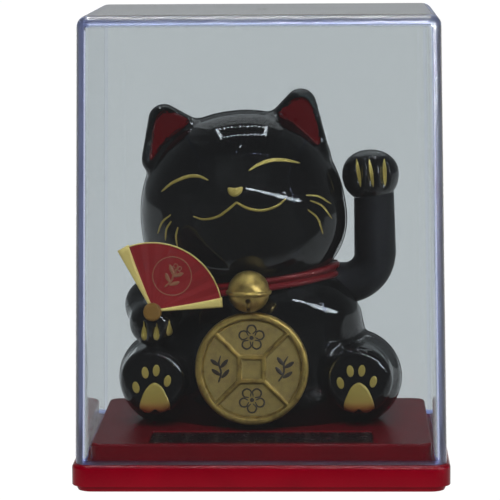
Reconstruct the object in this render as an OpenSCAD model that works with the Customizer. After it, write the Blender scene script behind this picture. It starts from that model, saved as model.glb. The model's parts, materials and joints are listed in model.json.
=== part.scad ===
// Solar beckoning cat in a clear lift-off display case.
// The cat faces -Y, its waving arm is at +X, and the base stands on Z = 0.

/* [Base and case] */
// Width of the base flange
base_w = 87; // [86:0.5:90]
// Depth of the base flange
base_d = 70; // [69:0.5:76]
// Height of the top of the flange, where the case stands
flange_z = 6.4; // [6.2:0.1:6.8]
// Height of the deck that the cat stands on
deck_z = 10.7; // [10.7:0.1:11]
// Overall height with the case on
total_h = 109; // [106:0.5:116]
// Wall of the clear case
case_wall = 2; // [1.6:0.1:2.2]
// How much narrower the case is at its top than at its foot
case_draft = 2.9; // [2:0.1:3.2]

/* [Cat] */
// Sideways place of the cat on the deck
cat_x = -0.9; // [-1.5:0.1:0]
// Depth of the widest section of the cat
cat_y = 5; // [4:0.5:6]
// Wall of the moulded shells
shell = 1.8; // [1.4:0.1:2]
// Lean of the head to the cat's right
head_roll = 7; // [4:0.5:8]
// Half width of the head
head_a = 24.5; // [23.5:0.1:24.8]
// Half depth of the head
head_d = 19.5; // [18.5:0.1:20]
// Radius of the fortune coin
coin_r = 13.3; // [12:0.1:13.6]
// Radius of the bell
bell_r = 4.9; // [4.2:0.1:5]
// Radius of the open fan
fan_r = 16.2; // [15:0.1:16.6]

/* [Waving arm] */
// Radius of the arm
arm_r = 4.9; // [4.5:0.1:4.9]
// Height of the pivot axis
pivot_z = 43.2; // [43:0.1:43.3]
// Radius of the paw
paw_r = 6.8; // [6.2:0.1:6.9]
// Radius of the steel axle
axle_r = 0.8; // [0.7:0.05:1]
// Radial clearance of the axle in its cradle
axle_play = 0.05; // [0.03:0.01:0.08]

/* [Solar cell] */
// Width of the window in the deck
window_w = 51.6; // [46:0.2:52]
// Depth of the window in the deck
window_d = 14.5; // [12:0.1:14.6]

/* [Hidden] */
$fn = 48;
gap = 0.15;
$seam = 90;

// base
wall = 1.8;
deck_t = 1.6;
deck_under = deck_z - deck_t;
deck_w = base_w - 8.4;
deck_d = base_d - 8.9;
cover_t = 1.4;
cover_inset = 1.1;
cover_xy = [deck_w / 2 - 5.3, deck_d / 2 - 5];
window_y = -deck_d / 2 + 2.3 + window_d / 2;
cell_t = 1.2;
cell_size = [window_w + 2.4, window_d + 1.6];
screw_r = 1;
head_r = 1.8;
head_t = 1.1;
boss_r = 2.5;

// case
case_w = base_w - 1.7;
case_d = base_d - 1.8;

// electronics under the deck
board_size = [14, 30, 1.2];
board_at = [-29, 6, 6.4];
board_hole = 12;
coil_at = [2, 5];
coil_r = 5.4;
core_r = 2.2;
bobbin_z = 3.6;
flange_t = 0.8;
lead_r = 0.4;

// body
neck_drop = 16;
neck_h = 3.4;
head_at = [cat_x - 3.7, cat_y - 1, deck_z + 47.9];
head_up = 26.1;
head_down = 19;
torso_a = 26.2;
torso_d = 18.5;
torso_z = deck_z + 13.3;
torso_up = 24.5;
torso_down = 20;
parting_y = cat_y - 2;
leg_x = 22.45;
leg_r = 11.4;
leg_z = deck_z + 10;
foot_r = 7.9;
foot_z = deck_z + 11.9;
foot_x = 24;
foot_y = -15.5;
floor_t = 1.6;
opening = [[-10, -6.5], [14, 17.5]];
boss_xy = [[-16.5, 0], [16.5, 0], [-16.5, 11], [16.5, 11]];
shoulder = [-17, 0, 42];
elbow = [-26, -4, 39.5];
fan_paw = [-25.6, -12.5, 36.2];
fan_paw_r = 5.4;
fan_at = [-25.3, -18, 39.7];
fan_stem = 5.5;
fan_t = 1.1;
fan_turn = [3.6, 119.3];
hub_r = 2.1;
stem_r = 1;

// neck
collar_a = 21.5;
collar_d = 15;
neck_x = 4.7;
neck_r = 10.6;
spigot_t = 1.3;
bell_at = [cat_x - 2.1, -16.5, 44.1];
bell_stem_r = 1.2;
bell_stem = 7.5;
coin_at = [cat_x - 1.5, -14.2, deck_z + 15.1];
coin_t = 2.8;
coin_stem_r = 2;
coin_stem = 4.5;

// arm and pendulum
bend_r = 7.3;
arm_x = 26.7;
stub_x = 14.5;
arm_wall = 1.3;
paw_at = [25.6, cat_y, pivot_z + 26.2];
wrist_z = paw_at.z - 3.2;
swing_x = coil_at.x;
holder_z = 12.9;
holder_r = 5;
magnet_r = 4;
magnet_t = 3;
stem_w = [4, 3];
weight_size = [8, 7, 7];
upright_t = 2.5;
upright_x = [-6, 7.5];
cradle_hole = 8;
cradle_d = 20.4;

// flat outline with round corners
module round_rect(w, d, r) {
    square([w - 2 * r, d], center = true);
    square([w, d - 2 * r], center = true);
    for (x = [-1, 1], y = [-1, 1])
        translate([x * (w / 2 - r), y * (d / 2 - r)]) circle(r);
}

// upright block with round corners, between two heights
module block(w, d, r, z0, z1) {
    translate([0, 0, z0]) linear_extrude(z1 - z0) round_rect(w, d, r);
}

// cylinder along X, Y or from one point to another
module rod_x(r, x0, x1) {
    translate([x0, 0, 0]) rotate([0, 90, 0]) cylinder(r = r, h = x1 - x0);
}

module rod_y(r, y0, y1) {
    translate([0, y0, 0]) rotate([-90, 0, 0]) cylinder(r = r, h = y1 - y0);
}

module rod(p, q, r) {
    v = q - p;
    translate(p)
        rotate([0, acos(v.z / norm(v)), atan2(v.y, v.x)])
            cylinder(r = r, h = norm(v));
}

// limb between two balls, a little thinner than either
module limb(p, q, rp, rq) {
    rod(p, q, min(rp, rq) - 0.3);
    translate(p) sphere(rp);
    translate(q) sphere(rq);
}

// wire through a list of points
module wire(points, r) {
    for (i = [0 : len(points) - 2]) rod(points[i], points[i + 1], r);
    for (i = [1 : len(points) - 2]) translate(points[i]) sphere(1.15 * r);
}

// pan-head screw with its head down, seated at the origin
module screw(length) {
    translate([0, 0, -head_t]) cylinder(r = head_r, h = head_t);
    cylinder(r = screw_r, h = length);
}

// ellipsoid with half width a and half depth d, and its own heights above and below the origin;
// $seam turns its seam line into the half that is cut away
module egg(a, d, up, down) {
    translate([0, 0, (up - down) / 2]) scale([a, d, (up + down) / 2]) rotate([0, 0, $seam]) sphere(1);
}

// upright oval between two heights
module oval(a, d, z0, z1) {
    translate([0, 0, z0]) scale([1, d / a, 1]) cylinder(r = a, h = z1 - z0);
}

// moves its children into the leaning frame of the head
module head_frame() {
    translate(head_at) rotate([0, -head_roll, 0]) children();
}

// half space above a height in the head's frame
module above(z) {
    head_frame() translate([-60, -60, z]) cube([120, 120, 80]);
}

// half space in front of or behind the parting plane
module front_half() {
    translate([-60, parting_y - 60, 0]) cube([120, 60, 110]);
}

module rear_half() {
    translate([-60, parting_y, 0]) cube([120, 60, 110]);
}

module shoulder_bore() {
    translate([0, cat_y, pivot_z]) rod_x(arm_r + 0.6, stub_x - 4.5, stub_x + 20);
}

// --- base and case

module case_form(inset, foot) {
    top_w = case_w - case_draft - 2 * inset;
    top_d = case_d - case_draft - 2 * inset;
    r = 3.2 - inset;
    hull() {
        for (x = [-1, 1], y = [-1, 1]) {
            translate([x * (top_w / 2 - r), y * (top_d / 2 - r), total_h - inset - r])
                sphere(r, $fn = 24);
            translate([x * (case_w / 2 - inset - r), y * (case_d / 2 - inset - r), foot])
                cylinder(r = r, h = 0.5, $fn = 24);
        }
    }
}

module clear_case() {
    color("lightcyan", 0.3)
        difference() {
            case_form(0, flange_z);
            case_form(case_wall, flange_z - 1);
        }
}

module base_housing() {
    color("firebrick")
        difference() {
            union() {
                difference() {
                    union() {
                        block(base_w, base_d, 4, cover_t, flange_z);
                        block(deck_w, deck_d, 3, flange_z, deck_z);
                    }
                    block(base_w - 2 * wall, base_d - 2 * wall, 2.4, cover_t - 1, flange_z - deck_t);
                    block(deck_w - 2 * deck_t, deck_d - 2 * deck_t, 1.6, cover_t, deck_under);
                }
                for (x = [-1, 1], y = [-1, 1])
                    translate([x * cover_xy.x, y * cover_xy.y, cover_t + 1.6])
                        cylinder(r = boss_r, h = deck_under - cover_t - 1.6 + 0.2);
                for (y = [-1, 1])
                    translate([board_at.x, board_at.y + y * board_hole, board_at.z + board_size.z])
                        cylinder(r = boss_r - 0.4, h = deck_under - board_at.z - board_size.z + 0.2);
            }
            translate([-window_w / 2, window_y - window_d / 2, deck_under - 1])
                cube([window_w, window_d, deck_t + 2]);
            for (x = [-1, 1], y = [-1, 1])
                translate([x * cover_xy.x, y * cover_xy.y, 0]) cylinder(r = screw_r, h = 9);
            for (y = [-1, 1])
                translate([board_at.x, board_at.y + y * board_hole, 0])
                    cylinder(r = screw_r, h = deck_under + 0.8);
            for (p = boss_xy)
                translate([p.x + cat_x, p.y, deck_under - 1]) cylinder(r = screw_r + 0.2, h = deck_t + 2);
            for (y = [-cradle_hole, cradle_hole])
                translate([swing_x, cat_y + y, deck_under - 1]) cylinder(r = screw_r + 0.2, h = deck_t + 2);
        }
}

module bottom_cover() {
    lip = cover_inset + wall + gap;
    color("maroon")
        difference() {
            union() {
                block(base_w - 2 * cover_inset, base_d - 2 * cover_inset, 3.4, 0, cover_t);
                difference() {
                    block(base_w - 2 * lip + 1.8, base_d - 2 * lip + 1.8, 2, cover_t, cover_t + 1.2);
                    block(base_w - 2 * lip - 1.4, base_d - 2 * lip - 1.4, 1.2, cover_t, cover_t + 2);
                }
                for (x = [-1, 1], y = [-1, 1])
                    translate([x * cover_xy.x, y * cover_xy.y, cover_t]) cylinder(r = 3.2, h = 1.6);
            }
            for (x = [-1, 1], y = [-1, 1])
                translate([x * cover_xy.x, y * cover_xy.y, -1]) {
                    cylinder(r = head_r + 0.3, h = 1 + 0.3 + head_t);
                    cylinder(r = screw_r + 0.2, h = 6);
                }
        }
}

module cover_screws() {
    color("silver")
        for (x = [-1, 1], y = [-1, 1])
            translate([x * cover_xy.x, y * cover_xy.y, 0.3 + head_t]) screw(7);
}

// --- electronics under the deck

module solar_cell() {
    color("darkslategray")
        translate([-cell_size.x / 2, window_y - cell_size.y / 2 + 0.2, deck_under - cell_t])
            cube([cell_size.x, cell_size.y, cell_t]);
}

module circuit_board() {
    color("seagreen")
        difference() {
            translate([board_at.x - board_size.x / 2, board_at.y - board_size.y / 2, board_at.z])
                cube(board_size);
            for (y = [-1, 1])
                translate([board_at.x, board_at.y + y * board_hole, board_at.z - 1])
                    cylinder(r = screw_r + 0.2, h = 4);
        }
}

module driver_chip() {
    color("dimgray") translate([board_at.x - 2.5, board_at.y - 5, board_at.z - 1.5]) cube([5, 4, 1.5]);
}

module capacitor() {
    color("steelblue")
        translate([board_at.x, board_at.y, board_at.z - 2]) {
            rod_y(2, 1, 7);
            translate([0, 0, 1]) rod_y(0.3, 0.2, 1);
            translate([0, 0.5, 1]) cylinder(r = 0.3, h = 1);
        }
}

module board_screws() {
    color("silver")
        for (y = [-1, 1])
            translate([board_at.x, board_at.y + y * board_hole, board_at.z]) screw(3.3);
}

module coil_bobbin() {
    color("ivory")
        translate([coil_at.x, coil_at.y, 0]) {
            translate([0, 0, bobbin_z]) cylinder(r = coil_r + 0.6, h = flange_t);
            translate([0, 0, deck_under - flange_t]) cylinder(r = coil_r + 0.6, h = flange_t);
            translate([0, 0, bobbin_z]) cylinder(r = core_r, h = deck_under - bobbin_z);
        }
}

module coil() {
    color("peru")
        translate([coil_at.x, coil_at.y, bobbin_z + flange_t])
            difference() {
                cylinder(r = coil_r, h = deck_under - bobbin_z - 2 * flange_t);
                translate([0, 0, -1]) cylinder(r = core_r, h = 10);
            }
}

module solar_leads() {
    color("red")
        for (i = [0, 1])
            wire([[-24.5 + 2.5 * i, -18, deck_under - cell_t], [-24.5 + 2.5 * i, -18, 5.4],
                [-26.5 + 2.5 * i, -7, 5.4], [-26.5 + 2.5 * i, -7, board_at.z]], lead_r);
}

module coil_leads() {
    color("black")
        for (i = [0, 1])
            wire([[-2, 4 + 2 * i, bobbin_z], [-2, 4 + 2 * i, 2.9], [-20, 6 + 3 * i, 2.9],
                [-23, 6 + 3 * i, 4], [-23, 6 + 3 * i, board_at.z]], lead_r);
}

// --- pivot and pendulum

module pivot_cradle() {
    color("gainsboro")
        difference() {
            union() {
                translate([upright_x[0], cat_y - cradle_d / 2, deck_z])
                    cube([upright_x[1] + upright_t - upright_x[0], cradle_d, floor_t]);
                for (x = upright_x) {
                    translate([x, cat_y - 1.9, deck_z]) cube([upright_t, 3.8, pivot_z - deck_z]);
                    translate([x, cat_y - 4, deck_z]) cube([upright_t, 8, 12]);
                    translate([0, cat_y, pivot_z]) rod_x(1.9, x, x + upright_t);
                }
            }
            translate([0, cat_y, pivot_z]) rod_x(axle_r + axle_play, upright_x[0] - 1, upright_x[1] + 4);
            for (y = [-cradle_hole, cradle_hole])
                translate([swing_x, cat_y + y, deck_z - 1]) cylinder(r = screw_r, h = 4);
        }
}

module cradle_screws() {
    color("silver")
        for (y = [-cradle_hole, cradle_hole])
            translate([swing_x, cat_y + y, deck_under]) screw(deck_t + floor_t);
}

module axle() {
    color("silver") translate([0, cat_y, pivot_z]) rod_x(axle_r, upright_x[0] - 0.6, stub_x + 4);
}

module pendulum() {
    color("whitesmoke")
        difference() {
            union() {
                translate([0, cat_y, pivot_z]) rod_x(2.6, swing_x - 4, swing_x + 4.8);
                translate([swing_x - stem_w.x / 2, cat_y - stem_w.y / 2, holder_z + 4])
                    cube([stem_w.x, stem_w.y, pivot_z - holder_z - 4]);
                translate([swing_x, cat_y, holder_z]) cylinder(r = holder_r, h = 4.5);
            }
            translate([0, cat_y, pivot_z]) rod_x(axle_r, swing_x - 6, swing_x + 8);
            translate([swing_x, cat_y, holder_z - 1]) cylinder(r = magnet_r, h = 1 + magnet_t + 0.2);
        }
}

module magnet() {
    color("silver") translate([swing_x, cat_y, holder_z + 0.2]) cylinder(r = magnet_r, h = magnet_t);
}

module counterweight() {
    color("gray")
        translate([swing_x, cat_y, holder_z + 4.5])
            difference() {
                translate([-weight_size.x / 2, -weight_size.y / 2, 0]) cube(weight_size);
                translate([-stem_w.x / 2, -stem_w.y / 2, -1]) cube([stem_w.x, stem_w.y, weight_size.z + 2]);
            }
}

// arm of a given radius, from a place on the stub to a height on the forearm
module arm_form(r, x0, z1) {
    bend_at = arm_x - bend_r;
    translate([0, cat_y, pivot_z]) rod_x(r, x0, bend_at);
    translate([bend_at, cat_y, pivot_z + bend_r])
        rotate([90, 0, 0]) rotate([0, 0, -90]) rotate_extrude(angle = 90) translate([bend_r, 0]) circle(r);
    translate([arm_x, cat_y, pivot_z + bend_r]) cylinder(r = r, h = z1 - pivot_z - bend_r);
}

module waving_arm() {
    color("#26262a")
        difference() {
            union() {
                arm_form(arm_r, stub_x, wrist_z);
                translate([0, cat_y, pivot_z]) rod_x(2.2, stub_x - 1.8, stub_x + 0.2);
            }
            arm_form(arm_r - arm_wall, stub_x + 4, wrist_z - arm_wall);
            translate([0, cat_y, pivot_z]) rod_x(axle_r, stub_x - 3, stub_x + 5);
        }
}

module waving_paw() {
    color("black")
        difference() {
            translate(paw_at) sphere(paw_r);
            translate([arm_x, cat_y, paw_at.z - paw_r - 1]) cylinder(r = arm_r, h = wrist_z - paw_at.z + paw_r + 1);
            intersection() {
                translate(paw_at) sphere(paw_r - arm_wall);
                translate([0, 0, wrist_z + arm_wall]) cube([60, 60, 60]);
            }
        }
}

// --- body

module torso(t) {
    translate([cat_x, cat_y, torso_z]) egg(torso_a - t, torso_d - t, torso_up - t, torso_down - t);
}

module legs(t) {
    for (x = [-1, 1]) translate([cat_x + x * leg_x, cat_y - 2, leg_z]) sphere(leg_r - t);
}

// round-edged foot that points forward
module foot() {
    edge = 2.4;
    rotate([90, 0, 0])
        rotate_extrude() {
            square([foot_r, -foot_y - edge]);
            square([foot_r - edge, -foot_y]);
            translate([foot_r - edge, -foot_y - edge]) circle(edge);
        }
}

module fan_arm() {
    limb(shoulder, elbow, 6.6, 6.2);
    rod(elbow, fan_paw, fan_paw_r - 0.4);
    translate(fan_paw) sphere(fan_paw_r);
}

module tail() {
    limb([cat_x + 4, cat_y + 16, deck_z + 4.5], [cat_x + 12, cat_y + 15, deck_z + 5.5], 3.6, 3.9);
}

// rim round the neck hole, which centres the collar
module neck_rim() {
    head_frame() translate([neck_x, 0, -neck_drop - 0.5]) cylinder(r = neck_r - gap, h = neck_h - 1);
}

module neck_hole() {
    head_frame() translate([neck_x, 0, -neck_drop - 4]) cylinder(r = neck_r - spigot_t, h = 8);
}

module body_shell() {
    difference() {
        union() {
            difference() {
                union() {
                    torso(0);
                    legs(0);
                    for (x = [-1, 1]) translate([cat_x + x * foot_x, 0, foot_z]) foot();
                    fan_arm();
                    tail();
                }
                above(-neck_drop);
            }
            neck_rim();
        }
        difference() {
            union() {
                torso(shell);
                legs(shell);
            }
            above(-neck_drop - shell);
            cube([200, 200, 2 * (deck_z + floor_t)], center = true);
        }
        cube([200, 200, 2 * deck_z], center = true);
        translate([opening[0].x, opening[0].y, deck_z - 1])
            cube([opening[1].x - opening[0].x, opening[1].y - opening[0].y, 3]);
        neck_hole();
        shoulder_bore();
    }
}

module body_bosses(picks) {
    for (i = picks)
        translate([boss_xy[i].x + cat_x, boss_xy[i].y, deck_z])
            cylinder(r = boss_r, h = 7);
}

module body_pilots(picks) {
    for (i = picks)
        translate([boss_xy[i].x + cat_x, boss_xy[i].y, deck_z - 1])
            cylinder(r = screw_r, h = 6.5);
}

module body_front() {
    color("black")
        difference() {
            union() {
                intersection() {
                    body_shell();
                    front_half();
                }
                body_bosses([0, 1]);
            }
            body_pilots([0, 1]);
            translate(fan_at) rod_y(stem_r, -1, fan_stem);
            translate(coin_at) rod_y(coin_stem_r, -1, coin_stem);
        }
}

module body_rear() {
    $seam = -120;
    color("black")
        difference() {
            union() {
                intersection() {
                    body_shell();
                    rear_half();
                }
                body_bosses([2, 3]);
            }
            body_pilots([2, 3]);
        }
}

module body_screws() {
    color("silver")
        for (p = boss_xy) translate([p.x + cat_x, p.y, deck_under]) screw(deck_t + 5);
}

// --- neck, bell, coin and fan

module collar() {
    top = -neck_drop + neck_h;
    color("firebrick")
        difference() {
            head_frame()
                difference() {
                    union() {
                        oval(collar_a - 0.7, collar_d - 0.7, -neck_drop, top);
                        oval(collar_a, collar_d, top - 1.3, top);
                    }
                    translate([neck_x, 0, -neck_drop - 1]) cylinder(r = neck_r, h = neck_h + 2);
                }
            translate(bell_at) rod_y(bell_stem_r, 0, bell_stem);
            shoulder_bore();
        }
}

module bell() {
    color("goldenrod")
        translate(bell_at)
            difference() {
                union() {
                    sphere(bell_r);
                    translate([0, 0, -0.35]) cylinder(r = bell_r + 0.45, h = 0.7);
                    rod_y(bell_stem_r, 0, bell_stem);
                }
                translate([0, 0, -1.4]) rod_y(0.7, -6, -3);
                translate([-0.3, -6, -5]) cube([0.6, 3.5, 3.6]);
            }
}

module coin() {
    square_r = 3.3;
    rim = 1.9;
    sink = 0.7;
    color("goldenrod")
        translate(coin_at)
            difference() {
                union() {
                    rod_y(coin_r, -coin_t, 0);
                    rod_y(coin_stem_r, 0, coin_stem);
                }
                difference() {
                    rod_y(coin_r - rim, -coin_t - 1, -coin_t + sink);
                    translate([-square_r, -coin_t, -square_r]) cube([2 * square_r, 1, 2 * square_r]);
                    for (t = [45, 135])
                        rotate([0, t, 0]) translate([-coin_r, -coin_t, -0.35]) cube([2 * coin_r, 1, 0.7]);
                }
                translate([-square_r + 0.9, -coin_t - 1, -square_r + 0.9])
                    cube([2 * square_r - 1.8, 1 + sink, 2 * square_r - 1.8]);
            }
}

module fan() {
    far = 3 * fan_r;
    mid = (fan_turn[0] + fan_turn[1]) / 2;
    color("firebrick")
        translate(fan_at) {
            rotate([90, 0, 0]) linear_extrude(fan_t)
                intersection() {
                    circle(fan_r);
                    polygon([[0, 0], for (t = [fan_turn[0], mid, fan_turn[1]]) far * [cos(t), sin(t)]]);
                }
            rod_y(hub_r, -fan_t - 0.6, 0);
            rod_y(stem_r, -0.1, fan_stem);
        }
}

// --- head

ear_tip = [16.2, 26.4];
ear_in = [10, 21.5];
ear_out = [18.6, 15];
ear_round = 3;

// flat ear of three round corners of one radius
module ear_outline(r) {
    corners = [ear_tip, ear_in, ear_out];
    polygon(corners);
    for (i = [0 : 2]) {
        p = corners[i];
        q = corners[(i + 1) % 3];
        translate(p) circle(r);
        translate(p) rotate(atan2(q.y - p.y, q.x - p.x)) translate([0, -r]) square([norm(q - p), 2 * r]);
    }
}

module ear(r, y0, y1) {
    translate([0, y1, 0]) rotate([90, 0, 0]) linear_extrude(y1 - y0) ear_outline(r);
}

module ears(r, y0, y1) {
    ear(r, y0, y1);
    mirror([1, 0, 0]) ear(r, y0, y1);
}

module head_shell() {
    base = -neck_drop + neck_h;
    head_frame() {
        difference() {
            union() {
                egg(head_a, head_d, head_up, head_down);
                ears(ear_round, -3, 3);
            }
            ears(ear_round - 1.5, -4, -1.4);
            difference() {
                egg(head_a - shell, head_d - shell, head_up - shell, head_down - shell);
                translate([-60, -60, base + shell - 60]) cube([120, 120, 60]);
            }
            translate([-60, -60, base - 60]) cube([120, 120, 60]);
        }
        translate([neck_x, 0, base - 0.8])
            difference() {
                cylinder(r = neck_r - gap, h = 1);
                translate([0, 0, -1]) cylinder(r = neck_r - spigot_t, h = 4);
            }
    }
}

module head_front() {
    color("black")
        intersection() {
            head_shell();
            front_half();
        }
}

module head_rear() {
    $seam = -90;
    color("black")
        intersection() {
            head_shell();
            rear_half();
        }
}

clear_case();
base_housing();
bottom_cover();
cover_screws();
solar_cell();
circuit_board();
driver_chip();
capacitor();
board_screws();
coil_bobbin();
coil();
solar_leads();
coil_leads();
pivot_cradle();
cradle_screws();
axle();
pendulum();
magnet();
counterweight();
waving_arm();
waving_paw();
body_front();
body_rear();
body_screws();
collar();
bell();
coin();
fan();
head_front();
head_rear();
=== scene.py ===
import json
import math
from functools import partial

import bmesh
import bpy
import numpy as np
from mathutils import Matrix, Vector


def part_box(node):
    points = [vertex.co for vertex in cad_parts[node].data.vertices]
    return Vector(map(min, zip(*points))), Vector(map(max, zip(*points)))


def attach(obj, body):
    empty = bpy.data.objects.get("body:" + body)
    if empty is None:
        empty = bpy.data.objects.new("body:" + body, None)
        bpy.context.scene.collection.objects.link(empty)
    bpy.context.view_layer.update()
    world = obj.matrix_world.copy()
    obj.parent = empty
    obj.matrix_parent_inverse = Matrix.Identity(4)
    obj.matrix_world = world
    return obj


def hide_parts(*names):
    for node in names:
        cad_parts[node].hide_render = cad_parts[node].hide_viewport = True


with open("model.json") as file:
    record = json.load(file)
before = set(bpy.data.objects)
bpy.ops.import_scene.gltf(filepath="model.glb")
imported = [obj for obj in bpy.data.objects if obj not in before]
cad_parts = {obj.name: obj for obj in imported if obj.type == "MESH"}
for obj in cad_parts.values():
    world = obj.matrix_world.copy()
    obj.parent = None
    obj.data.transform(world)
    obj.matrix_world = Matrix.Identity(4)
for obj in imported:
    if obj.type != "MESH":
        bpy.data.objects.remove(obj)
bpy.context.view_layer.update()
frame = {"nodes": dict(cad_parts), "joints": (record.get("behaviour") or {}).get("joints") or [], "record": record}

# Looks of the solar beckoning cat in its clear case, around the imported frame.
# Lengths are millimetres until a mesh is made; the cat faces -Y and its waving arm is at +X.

MM = 0.001


def cad(node):
    """Lowest and highest corner of a CAD node in millimetres."""
    low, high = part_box(node)
    return np.array(low) / MM, np.array(high) / MM


FLANGE_LOW, FLANGE_HIGH = cad("base_housing")
CASE_LOW, CASE_HIGH = cad("clear_case")
COIN_LOW, COIN_HIGH = cad("coin")
BELL_LOW, BELL_HIGH = cad("bell")
FAN_HIGH = cad("fan")[1]
CELL_LOW, CELL_HIGH = cad("solar_cell")
PAW_LOW, PAW_HIGH = cad("waving_paw")
JOINTS = {joint["name"]: joint for joint in frame["joints"]}
PIVOT = np.array(JOINTS["arm_wave"]["pos_m"]) / MM

DECK_Z = FLANGE_HIGH[2]
FLANGE_Z = CASE_LOW[2]
COVER_T = FLANGE_LOW[2]
PARTING_Y = 3.0
PARTING_GROOVE = 0.07
REAR_STEP = 0.14

# ---------------------------------------------------------------- materials


class Finish:
    """A procedural material: one Principled shader with its colour, roughness and bump driven by noise."""

    def __init__(self, name, colour, metallic=0.0, specular=0.5, coat=0.0, coat_roughness=0.05, ior=1.5):
        self.material = bpy.data.materials.new(name)
        self.material.use_nodes = True
        self.tree = self.material.node_tree
        self.nodes, self.links = self.tree.nodes, self.tree.links
        self.shader = self.nodes["Principled BSDF"]
        settings = {"Base Color": (*colour, 1), "Metallic": metallic, "Specular IOR Level": specular,
                    "Coat Weight": coat, "Coat Roughness": coat_roughness, "IOR": ior}
        for socket, value in settings.items():
            self.shader.inputs[socket].default_value = value
        self.place = self.nodes.new("ShaderNodeTexCoord").outputs["Object"]
        self.normal = None

    def texture(self, kind, per_mm, stretch=(1, 1, 1)):
        """A texture node over the object's millimetres."""
        mapping = self.nodes.new("ShaderNodeMapping")
        mapping.inputs["Scale"].default_value = [s / MM for s in stretch]
        self.links.new(self.place, mapping.inputs["Vector"])
        node = self.nodes.new(kind)
        node.inputs["Scale"].default_value = per_mm
        self.links.new(mapping.outputs["Vector"], node.inputs["Vector"])
        return node

    def noise(self, per_mm, detail=3.0, stretch=(1, 1, 1)):
        """A noise value with features of about 1 / per_mm millimetres."""
        node = self.texture("ShaderNodeTexNoise", per_mm, stretch)
        node.inputs["Detail"].default_value = detail
        return node.outputs["Fac"]

    def axis(self, name):
        """One coordinate of the object's space, in metres."""
        split = self.nodes.new("ShaderNodeSeparateXYZ")
        self.links.new(self.place, split.inputs[0])
        return split.outputs[name]

    def spread(self, value, low, high, start=0.3, end=0.7):
        """The value's start..end range spread over low..high."""
        node = self.nodes.new("ShaderNodeMapRange")
        self.links.new(value, node.inputs["Value"])
        for name, number in (("From Min", start), ("From Max", end), ("To Min", low), ("To Max", high)):
            node.inputs[name].default_value = number
        return node.outputs["Result"]

    def colours(self, value, *stops):
        """The Base Color follows a ramp of (position, colour) stops."""
        ramp = self.nodes.new("ShaderNodeValToRGB")
        while len(ramp.color_ramp.elements) < len(stops):
            ramp.color_ramp.elements.new(0.5)
        for element, (position, colour) in zip(ramp.color_ramp.elements, stops):
            element.position = position
            element.color = (*colour, 1)
        self.links.new(value, ramp.inputs["Fac"])
        self.links.new(ramp.outputs["Color"], self.shader.inputs["Base Color"])
        return self

    def roughness(self, value, low, high):
        self.links.new(self.spread(value, low, high), self.shader.inputs["Roughness"])
        return self

    def bump(self, value, height_mm, strength=1.0):
        """Adds a bump of the given height; bumps stack."""
        node = self.nodes.new("ShaderNodeBump")
        node.inputs["Distance"].default_value = height_mm * MM
        node.inputs["Strength"].default_value = strength
        self.links.new(value, node.inputs["Height"])
        if self.normal is not None:
            self.links.new(self.normal, node.inputs["Normal"])
        self.normal = node.outputs["Normal"]
        self.links.new(self.normal, self.shader.inputs["Normal"])
        return self

    def bands(self, per_mm, direction="X"):
        """Even waves, such as a winding's turns."""
        node = self.texture("ShaderNodeTexWave", per_mm)
        node.bands_direction = direction
        return node.outputs["Fac"]


def math_node(tree, operation, *values):
    """Result of a math node on numbers and sockets."""
    node = tree.nodes.new("ShaderNodeMath")
    node.operation = operation
    for value, socket in zip(values, node.inputs):
        if isinstance(value, (int, float)):
            socket.default_value = value
        else:
            tree.links.new(value, socket)
    return node.outputs[0]


def shade(colour, factor):
    return tuple(min(1.0, c * factor) for c in colour)


def moulded(name, colour, low, high, grain_mm=0.004, wave_mm=0.0, **shader):
    """Moulded plastic or paint: faint tone drift, uneven polish, a fine skin and slow sink waves."""
    finish = Finish(name, colour, **shader)
    finish.colours(finish.noise(0.09), (0.3, shade(colour, 0.88)), (0.7, shade(colour, 1.1)))
    finish.roughness(finish.noise(0.35, 5), low, high)
    if wave_mm:
        finish.bump(finish.noise(0.06, 0), wave_mm, 0.5)
    finish.bump(finish.noise(2.0, 1), grain_mm, 0.4)
    return finish.material


def metal_paint(name, colour, dark, low, high, metallic=0.85):
    """Metallic gold paint with fine flakes and a little tarnish."""
    finish = Finish(name, colour, metallic=metallic, coat=0.15, coat_roughness=0.2)
    finish.colours(finish.noise(0.5, 6), (0.28, dark), (0.5, colour), (0.75, shade(colour, 1.15)))
    finish.roughness(finish.noise(0.8, 5), low, high)
    finish.bump(finish.noise(9.0, 2), 0.006, 0.7)
    return finish.material


def brushed(name, colour, low, high):
    """Turned or rolled metal with fine lines."""
    finish = Finish(name, colour, metallic=1.0)
    lines = finish.noise(3.0, 4, stretch=(1, 1, 12))
    finish.colours(finish.noise(0.6), (0.3, shade(colour, 0.8)), (0.7, shade(colour, 1.1)))
    finish.roughness(lines, low, high)
    finish.bump(lines, 0.004, 0.5)
    return finish.material


def solar_glass():
    """Dark amorphous cell behind resin: pale contact lines across it."""
    finish = Finish("cell_glass", (0.02, 0.008, 0.01), specular=0.3)
    finish.colours(finish.bands(0.045), (0.0, (0.018, 0.006, 0.008)), (0.94, (0.022, 0.009, 0.011)),
                   (0.97, (0.045, 0.026, 0.024)))
    finish.roughness(finish.noise(0.5), 0.2, 0.3)
    finish.bump(finish.noise(2.0), 0.004)
    return finish.material


def solder_board():
    """Green solder resist over copper tracks."""
    finish = Finish("board_green", (0.02, 0.16, 0.07), coat=0.3)
    tracks = finish.bands(0.18, "Y")
    finish.colours(tracks, (0.0, (0.015, 0.13, 0.05)), (0.55, (0.02, 0.15, 0.06)), (0.7, (0.05, 0.24, 0.1)))
    finish.bump(tracks, 0.03)
    finish.roughness(finish.noise(1.2), 0.3, 0.5)
    return finish.material


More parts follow.
